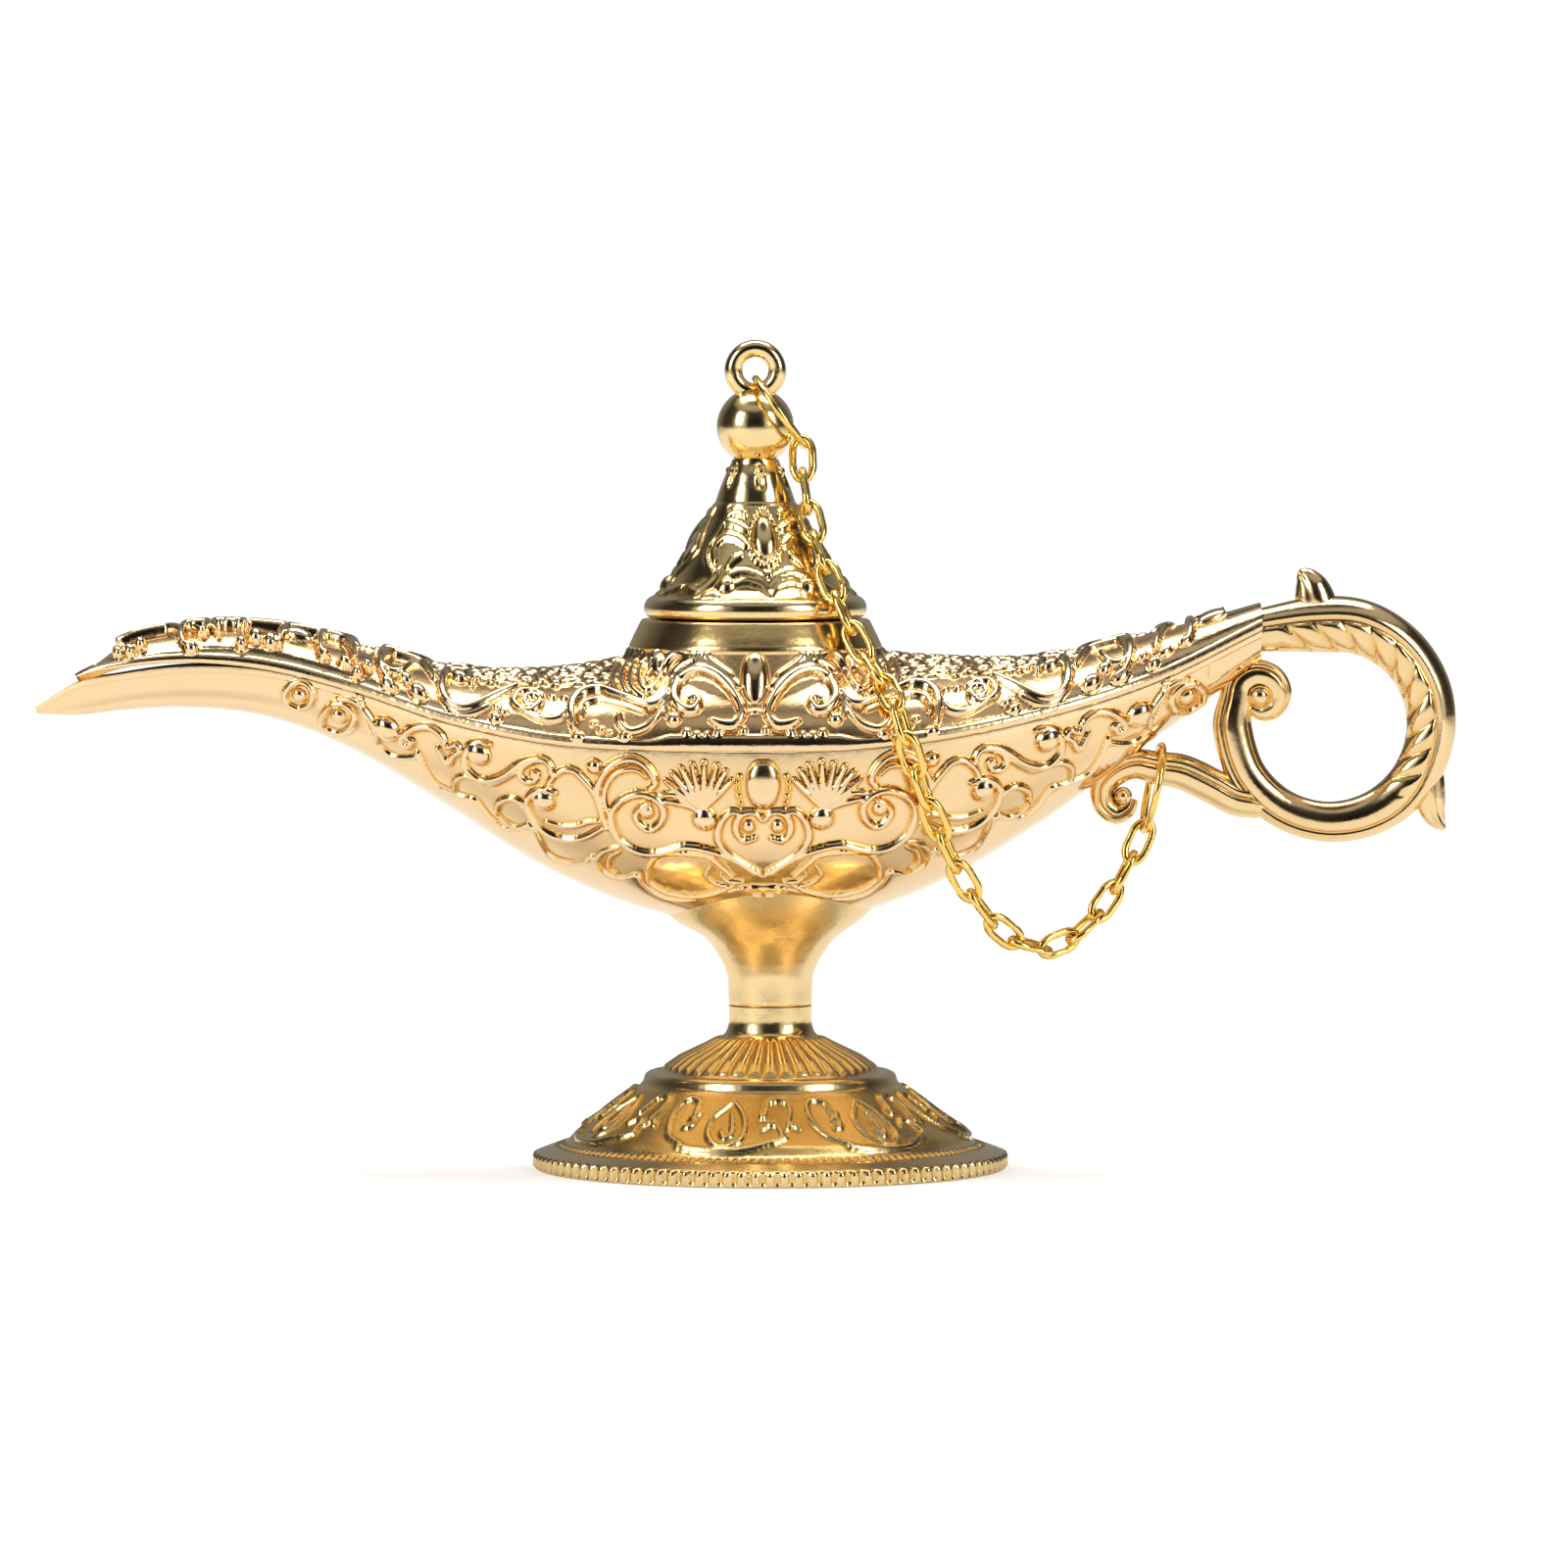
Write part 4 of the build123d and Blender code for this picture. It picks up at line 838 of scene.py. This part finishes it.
# the cabochon and its ring of beads, of which the chart holds one half
for turn in np.linspace(0, 2 * pi, 24, endpoint=False):
    if np.cos(turn) >= -0.01:
        place = (2.75 * np.cos(turn), cabochon + 3.9 * np.sin(turn))
        knob(scrolls, crease_shade, u, height, place, 0.42, 0.42, 0.4)
knob(scrolls, crease_shade, u, height, (0, cabochon), 2.1, 3.1, 1.1)
knob(scrolls, crease_shade, u, height, (28 * degree, 86.6), 1.1, 1.1, 0.8)
knob(scrolls, crease_shade, u, height, (1 * degree, 88.2), 0.5, 0.7, 0.5)
on_slope = outer * smooth_step(rise, 84.5, 85.0) * (1 - smooth_step(rise, 97.7, 98.1))
# six petals round the neck, with a small ball in the notch between two of them
petals = smooth_step(np.abs(np.sin(3 * (angle - np.radians(panel_turn)))), 0.0, 0.6)
on_neck = smooth_step(rise, 100.4, 101.2) * (1 - smooth_step(rise, 103.9, 104.5)) * outer
notch = (np.degrees(angle) - panel_turn + 30) % 60 - 30
balls, ball_crease_shade = np.zeros(u.shape), np.zeros(u.shape)
knob(balls, ball_crease_shade, notch * np.radians(3.9) + 0 * rise, height, (0, 103.2), 0.75, 0.75, 0.75)
relief = scrolls * on_slope + on_neck * 0.5 * (petals - 1) + balls * (rise < 105) * outer
# painted shade: the slope's ground in the creases beside the panels' scrolls and beads, and the hollows
# between the neck's petals
recess_shade = on_slope * (1 - smooth_step(scrolls, 0.03, 0.4)) * crease_shade * 0.9 + on_neck * (1 - petals) * 0.6
points = points + outward(points, (lid_axis, 0, 92.0)) * relief[..., None]
lid = cast_piece("lid_casting", points, lid_gold, "lid", recess_shade + 0 * u)
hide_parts("lid")


def closed_tube(line, across, thick, sides=16):
    """A tube along a closed line: at each point a circle of that thickness in the plane of the outward
    direction, found from the line's run, and the loop's own axis."""
    run = np.roll(line, -1, 0) - np.roll(line, 1, 0)
    run /= np.linalg.norm(run, axis=1, keepdims=True)
    out = np.cross(run, across)
    turn = np.linspace(0, 2 * pi, sides, endpoint=False)[None, :, None]
    ring = np.cos(turn) * out[:, None] + np.sin(turn) * np.asarray(across)
    points = line[:, None] + ring * np.reshape(thick, (-1, 1, 1))
    return np.concatenate([points, points[:1]])


eye_middle, eye_radius, eye_thick = 117.9, 3.22, 1.3
spin = np.linspace(0, 2 * pi, 72, endpoint=False)
x, z = lid_axis + eye_radius * np.cos(spin), eye_middle + eye_radius * np.sin(spin)
line = np.stack([x, 0 * spin, z], -1)
points = closed_tube(line, (0.0, 1.0, 0.0), np.full(len(line), eye_thick), 24)
eye = cast_piece("lid_eye", points, lid_gold, "lid")
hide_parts("lid")


# The handle: one solid casting, a ring with a smooth crest and slanting gadroons inside it, which
# curls up at the tail. A strut leaves it for a volute under the tail, and a tongue and pin hold it.
# its second colour is the painted shade in the relief's recesses
handle_gold = gold("handle_gold_plate", (0.91, 0.68, 0.36), (0.80, 0.46, 0.14), 0.12, 0.10, 0.2)
loop_middle = np.array((83.0, 65.9))
loop_size = 14.7


def bar(rows, steps, sides, depth_share):
    """A bar along a smooth line in the lamp's middle plane. Each row is its place from the loop's
    middle and its half thickness, as shares of the loop's size. The section is an ellipse. Also gives
    the run along the line in mm and the turn round the bar from its outer side."""
    path = flowing(np.asarray(rows, float) * loop_size, steps)
    place = path[:, :2] + loop_middle
    run = np.gradient(place, axis=0)
    run /= np.linalg.norm(run, axis=1, keepdims=True)
    out = np.stack([-run[:, 1], run[:, 0]], -1)
    turn = np.linspace(-pi, pi, sides, endpoint=False)[None]
    thick = path[:, 2:]
    side = thick * np.cos(turn)
    depth = thick * depth_share * np.sin(turn)
    points = np.stack([place[:, :1] + out[:, :1] * side, depth, place[:, 1:] + out[:, 1:] * side], -1)
    length = np.concatenate([[0], np.cumsum(np.linalg.norm(np.diff(place, axis=0), axis=1))])[:, None]
    heart = np.stack([place[:, 0], 0 * place[:, 0], place[:, 1]], -1)[:, None]
    return points, length, turn, thick, heart


def finish_bar(name, points, relief, recess_shade, heart):
    """A handle bar with its relief moved out along its normals, its ends closed by a flat face."""
    shape = points.shape[:2]
    points = points + outward(points, heart) * np.broadcast_to(relief, shape)[..., None]
    recess_shade = np.broadcast_to(recess_shade, shape)
    piece = cast_piece(name, points, handle_gold, "lamp", recess_shade, True)
    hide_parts("handle")


loop_thick = (0.28, 0.28, 0.265, 0.255, 0.245, 0.235, 0.22, 0.205, 0.20, 0.20, 0.20)
curl_thick = (0.175, 0.165, 0.155, 0.145, 0.13, 0.115, 0.09, 0.05)
curl_reach = (0.235, 0.225, 0.215, 0.205, 0.20, 0.19, 0.17, 0.15)
rows = [(-0.80, 0.92, 0.21)]
rows += [(np.cos(t), np.sin(t), w) for t, w in zip(np.radians(100 - 27.5 * np.arange(11)), loop_thick)]
rows += [
    (-0.73 + away * np.cos(t), 0.27 + away * np.sin(t), w)
    for t, away, w in zip(np.radians(190 - 45 * np.arange(8)), curl_reach, curl_thick)
]
points, length, turn, thick, heart = bar(rows, 34, 96, 0.92)
# the crest is a smooth roll on the outer side, parted from the inner face by a groove
off = np.abs(turn)
parting = 1.36 - 0.36 * smooth_step(length, 38, 50)
groove = np.exp(-(((off - parting) / 0.12) ** 2))
gadroon_pitch = 4.2
gadroon_span = smooth_step(length, 3, 5) * (1 - smooth_step(length, 44, 48))
slant = 0.75 * np.maximum(off - 1.4, 0) ** 0.8
gadroons = np.abs(np.sin(pi * (length / gadroon_pitch - slant))) ** 0.5
inner_face = smooth_step(off, 1.42, 1.55) * (1 - smooth_step(off, 2.8, 3.0))
fade = 1 - smooth_step(length, length[-1] - 9, length[-1] - 4)
relief = (0.6 * gadroons - 0.5) * gadroon_span * inner_face - 0.5 * groove * fade
# painted shade in the valleys between the gadroons and in the groove
recess_shade = gadroon_span * inner_face * (1 - gadroons) * 0.9 + 0.7 * groove
finish_bar("handle_ring_bar", points, relief, recess_shade, heart)

strut_rows = (
    (-0.50, -0.86, 0.06), (-0.66, -0.83, 0.13), (-0.80, -0.80, 0.165), (-0.98, -0.76, 0.175),
    (-1.20, -0.64, 0.18), (-1.50, -0.50, 0.18), (-1.75, -0.46, 0.17), (-1.97, -0.42, 0.155),
    (-2.16, -0.49, 0.14), (-2.30, -0.64, 0.125), (-2.29, -0.82, 0.115), (-2.17, -0.92, 0.105),
    (-2.05, -0.86, 0.09), (-2.01, -0.76, 0.07),
)
points, length, turn, thick, heart = bar(strut_rows, 24, 72, 0.95)
groove = np.exp(-(((np.abs(turn) - 1.85) / 0.15) ** 2))
# painted shade in the strut's groove
finish_bar("handle_strut", points, -0.4 * groove, 0.7 * groove, heart)

crest_rows = (
    (-0.12, 1.10, 0.19), (-0.17, 1.24, 0.20), (-0.21, 1.36, 0.175), (-0.26, 1.45, 0.125),
    (-0.31, 1.505, 0.07), (-0.34, 1.53, 0.015),
)
points, length, turn, thick, heart = bar(crest_rows, 12, 48, 0.85)
groove = np.exp(-(((np.abs(turn) - 1.3) / 0.2) ** 2))
# painted shade in the crest's groove
finish_bar("handle_crest", points, -0.2 * groove, 0.4 * groove, heart)
fin_rows = (
    (0.88, -0.30, 0.04), (0.95, -0.42, 0.12), (0.98, -0.55, 0.15), (0.99, -0.74, 0.155),
    (1.02, -0.90, 0.13), (1.08, -1.01, 0.08), (1.14, -1.07, 0.02),
)
points, length, turn, thick, heart = bar(fin_rows, 12, 48, 0.7)
groove = np.exp(-(((np.abs(turn) - 1.5) / 0.2) ** 2))
finish_bar("handle_fin", points, 0.35 * groove * smooth_step(length, 1, 3), 0 * groove, heart)

# the two bosses in the eyes of the scrolls, domed front and back
for name, place, size in (
    ("handle_curl_boss", (-0.73, 0.27), 1.75), ("handle_volute_boss", (-2.10, -0.74), 1.4),
):
    x, z = loop_middle + np.asarray(place) * loop_size
    lean = np.linspace(-pi / 2, pi / 2, 28)[:, None]
    turn = np.linspace(0, 2 * pi, 48, endpoint=False)[None]
    reach = size * np.cos(lean)
    y = (0.9 + size) * np.sign(lean) * np.abs(np.sin(lean)) ** 0.8 + 0 * turn
    points = np.stack([x + reach * np.cos(turn), y, z + reach * np.sin(turn)], -1)
    boss = cast_piece(name, points, handle_gold, "lamp")
    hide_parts("handle")


# The chain: 23 oval links of brass wire, bent round and butted shut, between two round jump rings.
# The first hangs in the lid's eye and the last on the handle's strut. The plating is yellower.
chain_gold = gold("chain_gold_plate", (0.95, 0.68, 0.20), (0.86, 0.52, 0.12), 0.14, 0.10, 0.12)
link_wire, ring_wire = 1.05, 1.0
plated = 1.1
butt_waist = 0.86


def loop_of(node, wire, count):
    """The middle line of a wire loop, worked out from its solid: the main directions of its points
    give its length, width and axis. The line is the mean of an ellipse and of two half circles with
    straight sides between."""
    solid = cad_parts[node].data
    places = np.empty(len(solid.vertices) * 3)
    solid.vertices.foreach_get("co", places)
    places = places.reshape(-1, 3) / mm
    along, wide = np.linalg.svd(places - places.mean(0), full_matrices=False)[2][:2]
    across = np.cross(along, wide)
    spans = (places @ along, places @ wide, places @ across)
    middle = sum((s.max() + s.min()) / 2 * way for s, way in zip(spans, (along, wide, across)))
    half_long, half_wide = ((s.max() - s.min() - wire) / 2 for s in spans[:2])
    turn = np.linspace(0, 2 * pi, count, endpoint=False) + 0.01
    straight = max(half_long - half_wide, 0)
    a = half_wide * np.cos(turn) + straight * (np.cos(turn) + np.sign(np.cos(turn))) / 2
    line = middle + a[:, None] * along + (half_wide * np.sin(turn))[:, None] * wide
    return line, across


loops = [(f"link_{number:02d}", f"chain_link_{number:02d}", link_wire, 64, 16) for number in range(1, 24)]
loops += [(node, f"jump_ring_{node}", ring_wire, 96, 40) for node in ("top_ring", "handle_ring")]
for node, name, wire, count, butt in loops:
    line, across = loop_of(node, wire, count)
    thick = np.full(count, plated * wire / 2)
    # the wire's ends meet in a butt joint half way along one side
    thick[butt] *= butt_waist
    piece = cast_piece(name, closed_tube(line, across, thick), chain_gold, node)
    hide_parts(node)
